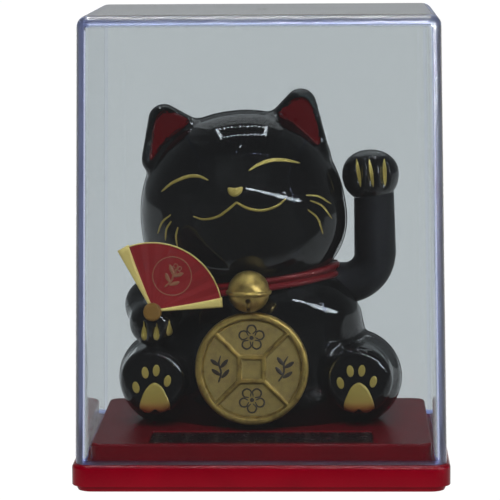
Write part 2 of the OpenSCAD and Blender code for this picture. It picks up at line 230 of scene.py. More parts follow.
def winding():
    """Enamelled copper turns, with painted shade in the grooves between turns and a painted highlight on their
    crests.
    """
    finish = Finish("copper_wire", (0.7, 0.26, 0.1), metallic=0.9)
    turns = finish.bands(1.6, "Z")
    # Painted shade and highlight: each turn darker in its groove and lighter on its crest, following the bump
    finish.colours(turns, (0.0, (0.25, 0.07, 0.02)), (0.5, (0.7, 0.26, 0.1)), (1.0, (0.85, 0.4, 0.18)))
    finish.bump(turns, 0.06)
    finish.roughness(finish.noise(1.5), 0.22, 0.38)
    return finish.material


CASE_WALL = 2.0
CASE_DRAFT = 1.45
CASE_TINT = (0.70, 0.735, 0.742)
# Painted edge-on tint: the bluish violet that light takes on along its long path through the walls' edges and foot
CASE_PAINTED_EDGE_TINT = (0.27, 0.33, 0.70)
CASE_BAND = 2.2
CASE_EDGE = (0.46, 0.49, 0.68)
CASE_DENSITY = 20.0
CASE_HAZE = 0.3
BACK_BORDER = 0.2
SHADOW_CLEARER = 1.3


def clear_plastic():
    """Clear polystyrene: tinted a little; along its edges and foot it is hazed, with a painted bluish violet tint
    for the long light path through walls seen edge-on. To shadow rays it is a plain filter, so that lamps outside
    light the cat."""
    finish = Finish("clear_plastic", CASE_TINT, ior=1.5)
    shader = finish.shader
    shader.inputs["Transmission Weight"].default_value = 1.0
    links, nodes = finish.links, finish.nodes
    half = (CASE_HIGH - CASE_LOW) / 2
    x, y, z = map(finish.axis, "XYZ")
    work_out = partial(math_node, finish.tree)
    lean = finish.spread(z, 0.0, CASE_DRAFT * MM, CASE_LOW[2] * MM, CASE_HIGH[2] * MM)

    def near(value, face, amount=1.0):
        """Rises from 0 to the amount over the last band's width before a leaning face."""
        reach = face - CASE_BAND
        upright = work_out("ADD", value, lean)
        return finish.spread(upright, 0.0, amount, (reach - 0.3) * MM, (reach + 0.3) * MM)

    sides = near(work_out("ABSOLUTE", x), half[0])
    front = near(work_out("MULTIPLY", y, -1.0), half[1])
    back = near(y, half[1], BACK_BORDER)
    roof = finish.spread(z, 0.0, 1.0, (CASE_HIGH[2] - 2.6) * MM, (CASE_HIGH[2] - 2.0) * MM)
    foot = finish.spread(z, 1.0, 0.0, (CASE_LOW[2] + 0.7) * MM, (CASE_LOW[2] + 1.1) * MM)
    total = work_out("ADD", work_out("ADD", sides, roof), work_out("ADD", front, back))
    painted_edge_tint_and_haze = work_out("MAXIMUM", finish.spread(total, 0.0, 1.0, 1.0, 2.0), foot)
    # Painted edge-on tint: edges and foot coloured bluish violet for the long light path through walls seen
    # edge-on
    finish.colours(painted_edge_tint_and_haze, (0.0, CASE_TINT), (1.0, CASE_PAINTED_EDGE_TINT))
    links.new(finish.spread(painted_edge_tint_and_haze, 0.0, CASE_HAZE, 0.2, 1.0), shader.inputs["Roughness"])
    finish.bump(finish.noise(0.03, 1), 0.02, 0.25)
    clear = nodes.new("ShaderNodeBsdfTransparent")
    clear.inputs["Color"].default_value = (*shade(CASE_TINT, SHADOW_CLEARER), 1)
    ray = nodes.new("ShaderNodeLightPath")
    mix = nodes.new("ShaderNodeMixShader")
    links.new(ray.outputs["Is Shadow Ray"], mix.inputs[0])
    links.new(shader.outputs[0], mix.inputs[1])
    links.new(clear.outputs[0], mix.inputs[2])
    edge = nodes.new("ShaderNodeVolumeAbsorption")
    edge.inputs["Color"].default_value = (*CASE_EDGE, 1)
    edge.inputs["Density"].default_value = CASE_DENSITY
    output = nodes["Material Output"]
    links.new(mix.outputs[0], output.inputs["Surface"])
    links.new(edge.outputs[0], output.inputs["Volume"])
    return finish.material


LINE_GOLD = (0.43, 0.31, 0.07)


def pad_gold():
    """Gold paint with a painted reflection of the red deck below: orange towards the foot of the pads, gold higher
    up.
    """
    finish = Finish("pad_gold", LINE_GOLD, metallic=0.2)
    height = finish.spread(finish.axis("Z"), 0.0, 1.0, 14.5 * MM, 20.0 * MM)
    # Painted reflection of the red deck: the colour turns orange towards the bottom of the pads
    finish.colours(height, (0.0, (0.42, 0.06, 0.012)), (0.25, (0.42, 0.12, 0.03)), (0.6, (0.42, 0.27, 0.06)),
                   (1.0, LINE_GOLD))
    finish.roughness(finish.noise(0.35, 5), 0.3, 0.42)
    return finish.material


BLACK = (0.0045, 0.0045, 0.005)
GOLD = (0.42, 0.275, 0.07)
# Colour, least and greatest roughness, height of the grain and of the sink waves in mm, and shader settings
MOULDED = {
    "red_plastic": ((0.17, 0.0, 0.006), 0.2, 0.27, 0.001, 0.0, {"specular": 0.08}),
    "black_gloss": (BLACK, 0.015, 0.04, 0.0003, 0.02, {}),
    "black_matte": ((0.003, 0.0027, 0.004), 0.42, 0.55, 0.003, 0.0, {"specular": 0.15}),
    "collar_red": ((0.19, 0.006, 0.01), 0.25, 0.35, 0.001, 0.0, {"specular": 0.2}),
    "ear_red": ((0.1, 0.0, 0.002), 0.25, 0.35, 0.001, 0.0, {"specular": 0.12}),
    "fan_red": ((0.31, 0.013, 0.016), 0.3, 0.42, 0.003, 0.0, {"specular": 0.3}),
    "gold_line": (LINE_GOLD, 0.3, 0.42, 0.002, 0.0, {"metallic": 0.35}),
    "guard_gold": ((0.98, 0.7, 0.22), 0.35, 0.45, 0.002, 0.0, {"metallic": 0.2}),
    "hub_gold": ((0.25, 0.12, 0.02), 0.5, 0.6, 0.002, 0.0, {"specular": 0.2}),
    "motif_brown": ((0.02, 0.009, 0.005), 0.4, 0.55, 0.002, 0.0, {}),
    "motif_rust": ((0.34, 0.13, 0.06), 0.4, 0.55, 0.002, 0.0, {}),
    "chip_black": ((0.012, 0.012, 0.013), 0.5, 0.65, 0.01, 0.0, {}),
    "capacitor_sleeve": ((0.02, 0.05, 0.2), 0.25, 0.4, 0.004, 0.0, {}),
    "lead_red": ((0.45, 0.012, 0.012), 0.3, 0.42, 0.004, 0.0, {}),
    "lead_black": ((0.012, 0.012, 0.012), 0.3, 0.42, 0.004, 0.0, {}),
    "white_plastic": ((0.72, 0.71, 0.66), 0.38, 0.5, 0.006, 0.0, {}),
}
BRUSHED = {
    "screw_steel": ((0.58, 0.58, 0.57), 0.22, 0.36),
    "magnet_nickel": ((0.66, 0.65, 0.62), 0.1, 0.2),
    "weight_steel": ((0.4, 0.4, 0.4), 0.35, 0.5),
}
MATERIALS = {name: moulded(name, *look, **shader) for name, (*look, shader) in MOULDED.items()}
MATERIALS |= {name: brushed(name, *look) for name, look in BRUSHED.items()}
MATERIALS |= {
    "gold_paint": metal_paint("gold_paint", GOLD, (0.22, 0.13, 0.03), 0.3, 0.45),
    "coin_field": metal_paint("coin_field", (0.26, 0.175, 0.045), (0.21, 0.135, 0.035), 0.5, 0.6, 0.35),
    "pad_gold": pad_gold(),
    "clear_plastic": clear_plastic(),
    "cell_glass": solar_glass(),
    "board_green": solder_board(),
    "copper_wire": winding(),
}


def dress_cad():
    """Gives every CAD node that stays the material of its slot."""
    for part in frame["record"]["subparts"]:
        mesh = frame["nodes"][part["node"]].data
        mesh.materials.clear()
        mesh.materials.append(MATERIALS[part["material_slot"]])


# ---------------------------------------------------------------- meshes


def add_object(name, data):
    """A mesh, light or camera in the scene."""
    made = bpy.data.objects.new(name, data)
    bpy.context.scene.collection.objects.link(made)
    return made


def add_mesh(name, vertices, faces):
    """A mesh object in metres from millimetre vertices."""
    mesh = bpy.data.meshes.new(name)
    mesh.from_pydata((np.asarray(vertices, float) * MM).tolist(), [], [list(map(int, f)) for f in faces])
    return add_object(name, mesh)


def add_piece(name, vertices, faces, look, body, slot=None, sharp_deg=None):
    """A mesh object of one material, riding on a body."""
    piece = add_mesh(name, vertices, faces)
    finish_piece(piece, look, body, sharp_deg)
    return piece


def soften(piece, sharp_deg):
    """Smooth shading that keeps edges sharper than an angle."""
    piece.data.set_sharp_from_angle(angle=math.radians(sharp_deg))
    weighted = piece.modifiers.new("weighted", "WEIGHTED_NORMAL")
    weighted.keep_sharp = True


def face_outwards(mesh):
    edit = bmesh.new()
    edit.from_mesh(mesh)
    bmesh.ops.recalc_face_normals(edit, faces=edit.faces)
    edit.to_mesh(mesh)
    edit.free()


def finish_piece(piece, look, body, sharp_deg=None):
    """Normals, smooth shading, material and body."""
    mesh = piece.data
    face_outwards(mesh)
    for face in mesh.polygons:
        face.use_smooth = True
    if sharp_deg is not None:
        soften(piece, sharp_deg)
    mesh.materials.clear()
    mesh.materials.append(MATERIALS[look])
    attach(piece, body)


def join_parts(parts):
    """Vertices and faces of several (vertices, faces) pairs as one."""
    vertices, faces, start = [], [], 0
    for points, polygons in parts:
        vertices.append(np.asarray(points, float))
        faces += [[i + start for i in polygon] for polygon in polygons]
        start += len(points)
    return np.concatenate(vertices), faces


def loft(rings, closed=False):
    """Faces through rings of equally many points; an open loft is capped at both ends."""
    count = len(rings[0])
    vertices = np.concatenate(rings)
    faces = []
    last = len(rings) if closed else len(rings) - 1
    for i in range(last):
        a, b = i * count, (i + 1) % len(rings) * count
        faces += [[a + k, a + (k + 1) % count, b + (k + 1) % count, b + k] for k in range(count)]
    if not closed:
        faces.append(list(range(count))[::-1])
        faces.append([(len(rings) - 1) * count + k for k in range(count)])
    return vertices, faces


def circle(radius, centre, axis=2, count=32):
    """Ring of points round an axis."""
    angle = np.linspace(0, 2 * math.pi, count, endpoint=False)
    points = np.tile(np.asarray(centre, float), (count, 1))
    first, second = [i for i in range(3) if i != axis]
    points[:, first] += radius * np.cos(angle)
    points[:, second] += radius * np.sin(angle)
    return points


def rounded_rect(width, depth, radius, z, centre_y=0.0, steps=8):
    """Ring of points around a rectangle with round corners."""
    ring = []
    for i, (sx, sy) in enumerate(((1, 1), (-1, 1), (-1, -1), (1, -1))):
        for k in range(steps + 1):
            turn = math.radians(90 * i + 90 * k / steps)
            ring.append((sx * (width / 2 - radius) + radius * math.cos(turn),
                         centre_y + sy * (depth / 2 - radius) + radius * math.sin(turn), z))
    return np.array(ring)


def plate(top, bottom, wrap=False):
    """Closed plate between two grids of points; wrap joins the first row to the last."""
    rows, columns = top.shape[:2]
    index = np.arange(rows * columns).reshape(rows, columns)
    faces = []
    spans = rows if wrap else rows - 1
    for i in range(spans):
        j = (i + 1) % rows
        for k in range(columns - 1):
            quad = [index[i, k], index[j, k], index[j, k + 1], index[i, k + 1]]
            faces.append(quad)
            faces.append([v + rows * columns for v in quad[::-1]])
    edges = [(index[i, 0], index[(i + 1) % rows, 0]) for i in range(spans)]
    edges += [(index[(i + 1) % rows, -1], index[i, -1]) for i in range(spans)]
    if not wrap:
        edges += [(index[0, k + 1], index[0, k]) for k in range(columns - 1)]
        edges += [(index[-1, k], index[-1, k + 1]) for k in range(columns - 1)]
    faces += [[b, a, a + rows * columns, b + rows * columns] for a, b in edges]
    return np.concatenate([top.reshape(-1, 3), bottom.reshape(-1, 3)]), faces


def smooth_through(points, count, closed=False):
    """A Catmull-Rom curve of count points through a few."""
    points = np.asarray(points, float)
    n = len(points)
    spans = n if closed else n - 1
    if closed:
        padded = np.concatenate([points[-1:], points, points[:2]])
    else:
        padded = np.concatenate([[2 * points[0] - points[1]], points, [2 * points[-1] - points[-2]]])
    at = np.linspace(0, spans, count, endpoint=not closed)
    i = np.minimum(at.astype(int), spans - 1)
    t = (at - i)[:, None]
    p0, p1, p2, p3 = (padded[i + k] for k in range(4))
    return 0.5 * (2 * p1 + (p2 - p0) * t + (2 * p0 - 5 * p1 + 4 * p2 - p3) * t ** 2
                  + (3 * p1 - p0 - 3 * p2 + p3) * t ** 3)


# ---------------------------------------------------------------- smooth solids from distance fields


def blend(a, b, k):
    """Union of two fields with a fillet of about k."""
    h = np.clip(0.5 + 0.5 * (b - a) / k, 0, 1)
    return b + (a - b) * h - k * h * (1 - h)


def carve(a, b, k):
    """Field a with b cut away and its edge rounded by about k."""
    return -blend(-a, b, k)


def ball(p, centre, radius):
    return np.linalg.norm(p - np.asarray(centre, float), axis=-1) - radius


def egg(p, centre, half, up, down, power=2.0):
    """Superellipsoid with its own heights above and below the centre."""
    q = np.abs(p - np.asarray(centre, float))
    height = np.where(p[..., 2] > centre[2], up, down)
    q = np.stack([q[..., 0] / half[0], q[..., 1] / half[1], q[..., 2] / height], -1)
    k = np.maximum((q ** power).sum(-1), 1e-9) ** (1 / power)
    slope = (q / k[..., None]) ** (power - 1)
    slope = slope / np.stack([np.full(k.shape, half[0]), np.full(k.shape, half[1]), height], -1)
    return (k - 1) / np.maximum(np.linalg.norm(slope, axis=-1), 1e-6)


def limb(p, a, b, ra, rb):
    """Round limb from a to b whose radius goes from ra to rb."""
    a, b = np.asarray(a, float), np.asarray(b, float)
    t = np.clip(((p - a) @ (b - a)) / ((b - a) @ (b - a)), 0, 1)
    return np.linalg.norm(p - a - t[..., None] * (b - a), axis=-1) - (ra + (rb - ra) * t)


def pill(across, along, radius, half, edge):
    """Disc or slab with rounded edges, from two distances: across it and along its axis."""
    d = np.stack([across - radius + edge, np.abs(along) - half + edge], -1)
    return np.linalg.norm(np.maximum(d, 0), axis=-1) + np.minimum(d.max(-1), 0) - edge


def outline_distance(x, z, corners):
    """Signed distance to a flat polygon."""
    corners = np.asarray(corners, float)
    best = np.full(x.shape, 1e9)
    inside = np.zeros(x.shape, bool)
    for (ax, az), (bx, bz) in zip(corners, np.roll(corners, -1, 0)):
        ex, ez = bx - ax, bz - az
        t = np.clip(((x - ax) * ex + (z - az) * ez) / (ex * ex + ez * ez), 0, 1)
        best = np.minimum(best, np.hypot(x - ax - t * ex, z - az - t * ez))
        crosses = (az > z) != (bz > z)
        inside ^= crosses & (x < ex * (z - az) / (ez if ez else 1e-9) + ax)
    return np.where(inside, -best, best)


def slope_of(field, p, step=0.02):
    """Gradient of a field by central differences."""
    slope = np.empty_like(p)
    for i in range(3):
        shift = np.zeros(3)
        shift[i] = step
        slope[..., i] = (field(p + shift) - field(p - shift)) / (2 * step)
    return slope


def settle(field, p, rounds=4):
    """Moves points onto the surface of a field."""
    for _ in range(rounds):
        slope = slope_of(field, p)
        square = np.maximum((slope ** 2).sum(-1, keepdims=True), 0.05)
        p = p - np.clip(field(p)[..., None] / square, -1, 1) * slope
    return p


def skin(field, low, high, cell):
    """Closed quad mesh of a field's zero surface: surface nets, evened out and settled on the surface."""
    low, high = np.asarray(low, float), np.asarray(high, float)
    counts = np.ceil((high - low) / cell).astype(int) + 1
    axes = [low[i] + cell * np.arange(counts[i]) for i in range(3)]
    grid = np.stack(np.meshgrid(*axes, indexing="ij"), -1)
    value = field(grid)
    total = np.zeros((*(counts - 1), 3))
    hits = np.zeros(tuple(counts - 1), int)
    crossings = []
    for a in range(3):
        near, far = [slice(None)] * 3, [slice(None)] * 3
        near[a], far[a] = slice(0, -1), slice(1, None)
        v0, v1 = value[tuple(near)], value[tuple(far)]
        cross = (v0 < 0) != (v1 < 0)
        crossings.append((cross, v0 < 0))
        t = np.where(cross, v0 / np.where(cross, v0 - v1, 1), 0)
        point = grid[tuple(near)].copy()
        point[..., a] += t * cell
        point[~cross] = 0
        b, c = (a + 1) % 3, (a + 2) % 3
        for i in (0, 1):
            for j in (0, 1):
                part = [slice(None)] * 3
                part[b] = slice(i, counts[b] - 1 + i)
                part[c] = slice(j, counts[c] - 1 + j)
                total += point[tuple(part)]
                hits += cross[tuple(part)]
    cells = hits > 0
    index = np.full(cells.shape, -1)
    index[cells] = np.arange(cells.sum())
    p = total[cells] / hits[cells][:, None]
    quads = []
    for a, (cross, low_in) in enumerate(crossings):
        b, c = (a + 1) % 3, (a + 2) % 3
        inner = [slice(None)] * 3
        inner[b], inner[c] = slice(1, -1), slice(1, -1)
        corners = []
        for i, j in ((0, 0), (1, 0), (1, 1), (0, 1)):
            part = [slice(None)] * 3
            part[b] = slice(i, counts[b] - 2 + i)
            part[c] = slice(j, counts[c] - 2 + j)
            corners.append(index[tuple(part)])
        found = cross[tuple(inner)]
        quad = np.stack(corners, -1)[found]
        keep = low_in[tuple(inner)][found]
        quads.append(np.where(keep[:, None], quad, quad[:, ::-1]))
    quads = np.concatenate(quads)
    for _ in range(3):
        pull, count = np.zeros_like(p), np.zeros(len(p))
        for k in range(4):
            for other in (quads[:, (k + 1) % 4], quads[:, (k + 3) % 4]):
                np.add.at(pull, quads[:, k], p[other])
                np.add.at(count, quads[:, k], 1)
        p = settle(field, 0.5 * p + 0.5 * pull / count[:, None], 2)
    return settle(field, p), quads.tolist()


def cut(piece, point, normal, fill=False):
    """Cuts away what is on the normal's side of a plane."""
    edit = bmesh.new()
    edit.from_mesh(piece.data)
    everything = edit.verts[:] + edit.edges[:] + edit.faces[:]
    made = bmesh.ops.bisect_plane(edit, geom=everything, dist=1e-7, plane_co=Vector(point) * MM,
                                  plane_no=normal, clear_outer=True)
    if fill:
        rim = [e for e in made["geom_cut"] if isinstance(e, bmesh.types.BMEdge)]
        bmesh.ops.triangle_fill(edit, use_beauty=True, edges=rim)
    edit.to_mesh(piece.data)
    edit.free()


def thicken(piece, wall):
    """Gives an open half shell its wall, towards the inside."""
    solid = piece.modifiers.new("wall", "SOLIDIFY")
    solid.thickness = wall * MM
    solid.offset = -1


def half_shells(name, mesh, look, cuts, nodes, wall=1.6):
    """Front and rear shell of one hollow form, with a fine parting groove between them."""
    for part, side, node in (("front", 1, nodes[0]), ("rear", -1, nodes[1])):
        shell = add_mesh(f"{name}_{part}_shell", *mesh)
        for point, normal in cuts:
            cut(shell, point, normal)
        cut(shell, (0, PARTING_Y - side * PARTING_GROOVE, 0), (0, side, 0))
        finish_piece(shell, look, "base", sharp_deg=50)
        if side < 0:
            lifts = [vertex.normal * REAR_STEP * MM for vertex in shell.data.vertices]
            for vertex, lift in zip(shell.data.vertices, lifts):
                vertex.co += lift
        thicken(shell, wall)
        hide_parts(node)


# ---------------------------------------------------------------- paint laid on a surface


def on_field(field, start_y):
    """Maps flat (x, z) points onto the front of a field; returns points and outward normals."""
    def place(xz):
        p = np.stack([xz[..., 0], np.full(xz.shape[:-1], start_y), xz[..., 1]], -1)
        for _ in range(90):
            p[..., 1] += np.clip(0.7 * field(p), -0.5, 2.0)
        normal = slope_of(field, p)
        return p, normal / np.linalg.norm(normal, axis=-1, keepdims=True)
    return place


def on_plane(y):
    """Maps flat (x, z) points onto an upright plane that faces the front."""
    def place(xz):
        p = np.stack([xz[..., 0], np.full(xz.shape[:-1], y), xz[..., 1]], -1)
        return p, np.broadcast_to(np.array([0, -1.0, 0]), p.shape)
    return place


PAINT = 0.07


def paint_grid(place, xz, height, sink=0.15, wrap=False):
    p, normal = place(xz)
    return plate(p + normal * height[..., None], p - normal * sink, wrap)


def stroke(place, points, width, count=40, taper=(0.25, 1.0, 0.25), height=PAINT):
    """Painted line through a few points; taper gives its width at the start, middle and end."""
    line = smooth_through(points, count)
    along = np.gradient(line, axis=0)
    side = np.stack([-along[:, 1], along[:, 0]], -1) / np.linalg.norm(along, axis=1)[:, None]
    t = np.linspace(0, 1, count)
    start, middle, end = taper
    share = middle * np.sin(math.pi * t) ** 0.6 + start * (1 - t) ** 4 + end * t ** 4
    across = np.linspace(-1, 1, 5)
    xz = line[:, None] + side[:, None] * (share * width / 2)[:, None, None] * across[None, :, None]
    rise = np.broadcast_to(height * (1 - across ** 4) + 0.015, xz.shape[:2])
    return paint_grid(place, xz, rise)


def blob(place, outline, count=40, rings=7, height=PAINT, closed=False):
    """Painted patch inside an outline, a little crowned."""
    edge = smooth_through(outline, count, closed=True) if not closed else np.asarray(outline, float)
    centre = edge.mean(0)
    share = np.linspace(1, 0.02, rings)
    xz = centre + (edge - centre)[:, None] * share[None, :, None]
    rise = np.broadcast_to(height * (1 - share ** 6) + 0.015, xz.shape[:2])
    vertices, faces = paint_grid(place, xz, rise, wrap=True)
    rows, columns = xz.shape[:2]
    inner = [i * columns + columns - 1 for i in range(rows)]
    below = [v + rows * columns for v in inner]
    faces = [f for f in faces if not (set(f) <= set(inner + below))]
    return vertices, faces + [inner, below[::-1]]


def oval(centre, half, turn_deg=0.0, count=24):
    """Points round an oval."""
    turn, angle = math.radians(turn_deg), np.linspace(0, 2 * math.pi, count, endpoint=False)
    x, z = half[0] * np.cos(angle), half[1] * np.sin(angle)
    return np.stack([centre[0] + x * math.cos(turn) - z * math.sin(turn),
                     centre[1] + x * math.sin(turn) + z * math.cos(turn)], -1)


# ---------------------------------------------------------------- base and case


def fillet(width, depth, radius, z, edge, steps=5):
    """Rings round a convex top edge: from the side up to the flat, edge tells its radius."""
    rings = []
    for k in range(steps + 1):
        turn = math.radians(90 * k / steps)
        inset = edge * (1 - math.cos(turn))
        rings.append(rounded_rect(width - 2 * inset, depth - 2 * inset, max(radius - inset, 0.3),
                                  z - edge + edge * math.sin(turn)))
    return rings


DECK_INSET = (8.4, 8.9)
BASE_WALL, DECK_WALL = 1.8, 1.6
CELL_LAP = (2.4, 1.6)
CELL_Y = (CELL_HIGH[1] + CELL_LOW[1]) / 2 - 0.2


def make_base():
    """Flange and raised deck in one moulding, hollow below, with the solar cell's window."""
    width, depth = (FLANGE_HIGH - FLANGE_LOW)[:2]
    deck_w, deck_d = width - DECK_INSET[0], depth - DECK_INSET[1]
    window_w, window_d = (CELL_HIGH - CELL_LOW)[:2] - CELL_LAP
    under = DECK_Z - DECK_WALL

    def window(z, grow=0.0):
        return rounded_rect(window_w + grow, window_d + grow, 0.5 + grow / 2, z, CELL_Y)

    def hollow(z):
        return rounded_rect(width - 2 * BASE_WALL, depth - 2 * BASE_WALL, 2.4, z)

    rings = [hollow(COVER_T), rounded_rect(width - 0.3, depth - 0.3, 3.9, COVER_T),
             rounded_rect(width, depth, 4, COVER_T + 0.2)]
    rings += fillet(width, depth, 4, FLANGE_Z, 1.0)
    rings += [rounded_rect(deck_w + 0.8, deck_d + 0.8, 3.4, FLANGE_Z),
              rounded_rect(deck_w + 0.2, deck_d + 0.2, 3.1, FLANGE_Z + 0.15),
              rounded_rect(deck_w, deck_d, 3, FLANGE_Z + 0.5)]
    rings += fillet(deck_w, deck_d, 3, DECK_Z, 0.7)
    rings += [window(DECK_Z, 0.7), window(DECK_Z - 0.12, 0.2), window(DECK_Z - 0.35), window(under)]
    rings += [rounded_rect(deck_w - 2 * DECK_WALL, deck_d - 2 * DECK_WALL, 1.6, z)
              for z in (under, FLANGE_Z - DECK_WALL)]
    rings.append(hollow(FLANGE_Z - DECK_WALL))
    base = add_piece("base_moulding", *loft(rings, closed=True), "red_plastic", "base", sharp_deg=40)
    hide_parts("base_housing")


def make_cell_resin():
    """Dark resin over the solar cell, almost level with the deck."""
    width, depth = (CELL_HIGH - CELL_LOW)[:2] - CELL_LAP - 0.2
    top = DECK_Z - 0.3
    rings = [rounded_rect(width, depth, 0.45, z, CELL_Y) for z in (CELL_HIGH[2] - 0.05, top - 0.12)]
    rings.append(rounded_rect(width - 0.3, depth - 0.3, 0.3, top, CELL_Y))
    add_piece("cell_resin", *loft(rings), "cell_glass", "base", sharp_deg=40)


COVER_SCREW_R = 1.8


def screw_places():
    """Centres of the four cover screws, from the CAD node's box."""
    low, high = cad("cover_screws")
    low, high = low + COVER_SCREW_R, high - COVER_SCREW_R
    return [(x, y) for x in (low[0], high[0]) for y in (low[1], high[1])]


def make_cover():
    """Bottom plate with a rounded lower edge and four stepped screw holes."""
    low, high = cad("bottom_cover")
    width, depth = (high - low)[:2]
    rings = [rounded_rect(width - inset, depth - inset, radius, z)
             for inset, radius, z in ((1.6, 2.8, 0), (0.5, 3.2, 0.18), (0, 3.4, 0.7), (0, 3.4, COVER_T))]
    cover = add_piece("bottom_plate", *loft(rings), "red_plastic", "base")
    for x, y in screw_places():
        for radius, top in ((2.1, 1.42), (1.2, 3.0)):
            subtract(cover, *loft([circle(radius, (x, y, z)) for z in (-1.0, top)]))
    soften(cover, 40)
    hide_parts("bottom_cover")


def subtract(piece, vertices, faces):
    """Cuts a closed form out of a piece with a boolean, and applies it."""
    cutter = add_mesh("cutter", vertices, faces)
    face_outwards(cutter.data)
    boolean = piece.modifiers.new("cut", "BOOLEAN")
    boolean.operation = "DIFFERENCE"
    boolean.solver = "EXACT"
    boolean.object = cutter
    graph = bpy.context.evaluated_depsgraph_get()
    result = bpy.data.meshes.new_from_object(piece.evaluated_get(graph))
    piece.modifiers.remove(boolean)
    piece.data = result
    bpy.data.objects.remove(cutter)


CASE_EDGE_R = 2.6
# Injection gate's mark: radius and depth below the case's top
GATE_PROFILE = ((1.1, 0.3), (1.1, 0.0), (0.85, 0.0), (0.7, 0.08), (0.3, 0.1))


def make_case():
    """Clear case: drafted walls, round edges, an even wall, an injection gate's mark on top."""
    width, depth = (CASE_HIGH - CASE_LOW)[:2]
    top, foot, draft = CASE_HIGH[2], CASE_LOW[2], 2 * CASE_DRAFT
    outer_r = 3.2

    def wall_ring(z, inset):
        shrink = draft * (z - foot) / (top - foot) + 2 * inset
        return rounded_rect(width - shrink, depth - shrink, outer_r - inset, z)

    def dome(inset, radius):
        """Rings from the wall over the top edge onto the flat top."""
        rings, roof = [], top - inset
        for k in range(7):
            turn = math.radians(90 * k / 6)
            reach, z = inset + radius * (1 - math.cos(turn)), roof - radius + radius * math.sin(turn)
            rings.append(wall_ring(z, reach) if reach < outer_r - 0.2 else
                         rounded_rect(width - draft - 2 * reach, depth - draft - 2 * reach, 0.2, z))
        return rings

    heights = np.linspace(foot + 0.4, top - CASE_EDGE_R - 1, 6)
    outer = [wall_ring(foot, 0.15)] + [wall_ring(z, 0) for z in heights] + dome(0, CASE_EDGE_R)
    inner = [wall_ring(foot, CASE_WALL - 0.1)] + [wall_ring(z, CASE_WALL) for z in heights]
    inner += dome(CASE_WALL, 0.9)
    case = add_piece("case_shell", *loft(outer[::-1] + inner), "clear_plastic", "case", sharp_deg=60)
    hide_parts("clear_case")
    gate = [circle(r, (0, 0, top - dip)) for r, dip in GATE_PROFILE]
    add_piece("case_gate_mark", *loft(gate), "clear_plastic", "case", sharp_deg=40)


# ---------------------------------------------------------------- head

HEAD_AT = np.array([-4.6, 4.0, 58.6])
HEAD_LEAN = math.radians(7)
HEAD_HALF = (24.5, 19.5)
HEAD_UP, HEAD_DOWN = 26.1, 19.0
HEAD_POWER = 2.18
HEAD_BASE = -12.6
NECK_BASE = -16.0


def to_head(p):
    """World points in the leaning frame of the head."""
    d = p - HEAD_AT
    c, s = math.cos(HEAD_LEAN), math.sin(HEAD_LEAN)
    return np.stack([c * d[..., 0] + s * d[..., 2], d[..., 1], c * d[..., 2] - s * d[..., 0]], -1)


def from_head(q):
    c, s = math.cos(HEAD_LEAN), math.sin(HEAD_LEAN)
    q = np.asarray(q, float)
    return HEAD_AT + np.stack([c * q[..., 0] - s * q[..., 2], q[..., 1], s * q[..., 0] + c * q[..., 2]], -1)


HEAD_UPRIGHT = np.array([-math.sin(HEAD_LEAN), 0, math.cos(HEAD_LEAN)])

# Corners of each ear's rounded triangle, in world x and z, and the round of its corners
EARS = {
    "left": (((-23.6, 82.7), (-16.9, 79.0), (-25.3, 73.4)), 3.5),
    "right": (((9.0, 86.2), (3.4, 80.3), (12.1, 74.6)), 3.6),
}
EAR_LININGS = {
    "left": ((-26.6, 73.4), (-26.3, 78.0), (-25.6, 82.1), (-24.2, 84.6), (-21.9, 84.8), (-17.6, 82.7),
             (-19.8, 80.4), (-23.2, 77.8)),
    "right": ((3.8, 84.0), (5.8, 86.4), (7.7, 87.7), (9.8, 87.9), (11.3, 86.5), (12.5, 83.9), (13.5, 79.8),
              (13.2, 76.9), (10.6, 79.1), (7.3, 81.9)),
}
EAR_Y = 3.5


def ear_thickness(z):
    return np.interp(z, (70, 90), (5.2, 2.6))


def ear(p, corners, rounding):
    flat = outline_distance(p[..., 0], p[..., 2], corners) - rounding
    return pill(flat, p[..., 1] - EAR_Y, 0, ear_thickness(p[..., 2]), 2.0)


def head_field(p):
    q = to_head(p)
    field = egg(q, (0, 0, 0), HEAD_HALF, HEAD_UP, HEAD_DOWN, HEAD_POWER)
    muzzle = egg(p, (-4.6, -9.5, 64.6), (12.5, 6.6), 5.4, 7.5)
    field = blend(field, muzzle, 5.0)
    for side, (corners, rounding) in EARS.items():
        near = (np.abs(p[..., 0] - np.mean(corners, 0)[0]) < 13) & (p[..., 2] > 66)
        close = p[near]
        part = blend(field[near], ear(close, corners, rounding), 1.6)
        lining = smooth_through(EAR_LININGS[side], 30, closed=True)
        hollow = outline_distance(close[:, 0], close[:, 2], lining)
        depth = EAR_Y - ear_thickness(close[:, 2]) + 1.3
        field[near] = carve(part, np.maximum(hollow, close[:, 1] - depth), 0.9)
    return field


def make_head():
    head = skin(head_field, (-33, -20, 38), (24, 27, 93), 0.5)
    base = from_head((0, 0, HEAD_BASE))
    half_shells("head", head, "black_gloss", [(base, tuple(-HEAD_UPRIGHT))], ("head_front", "head_rear"))


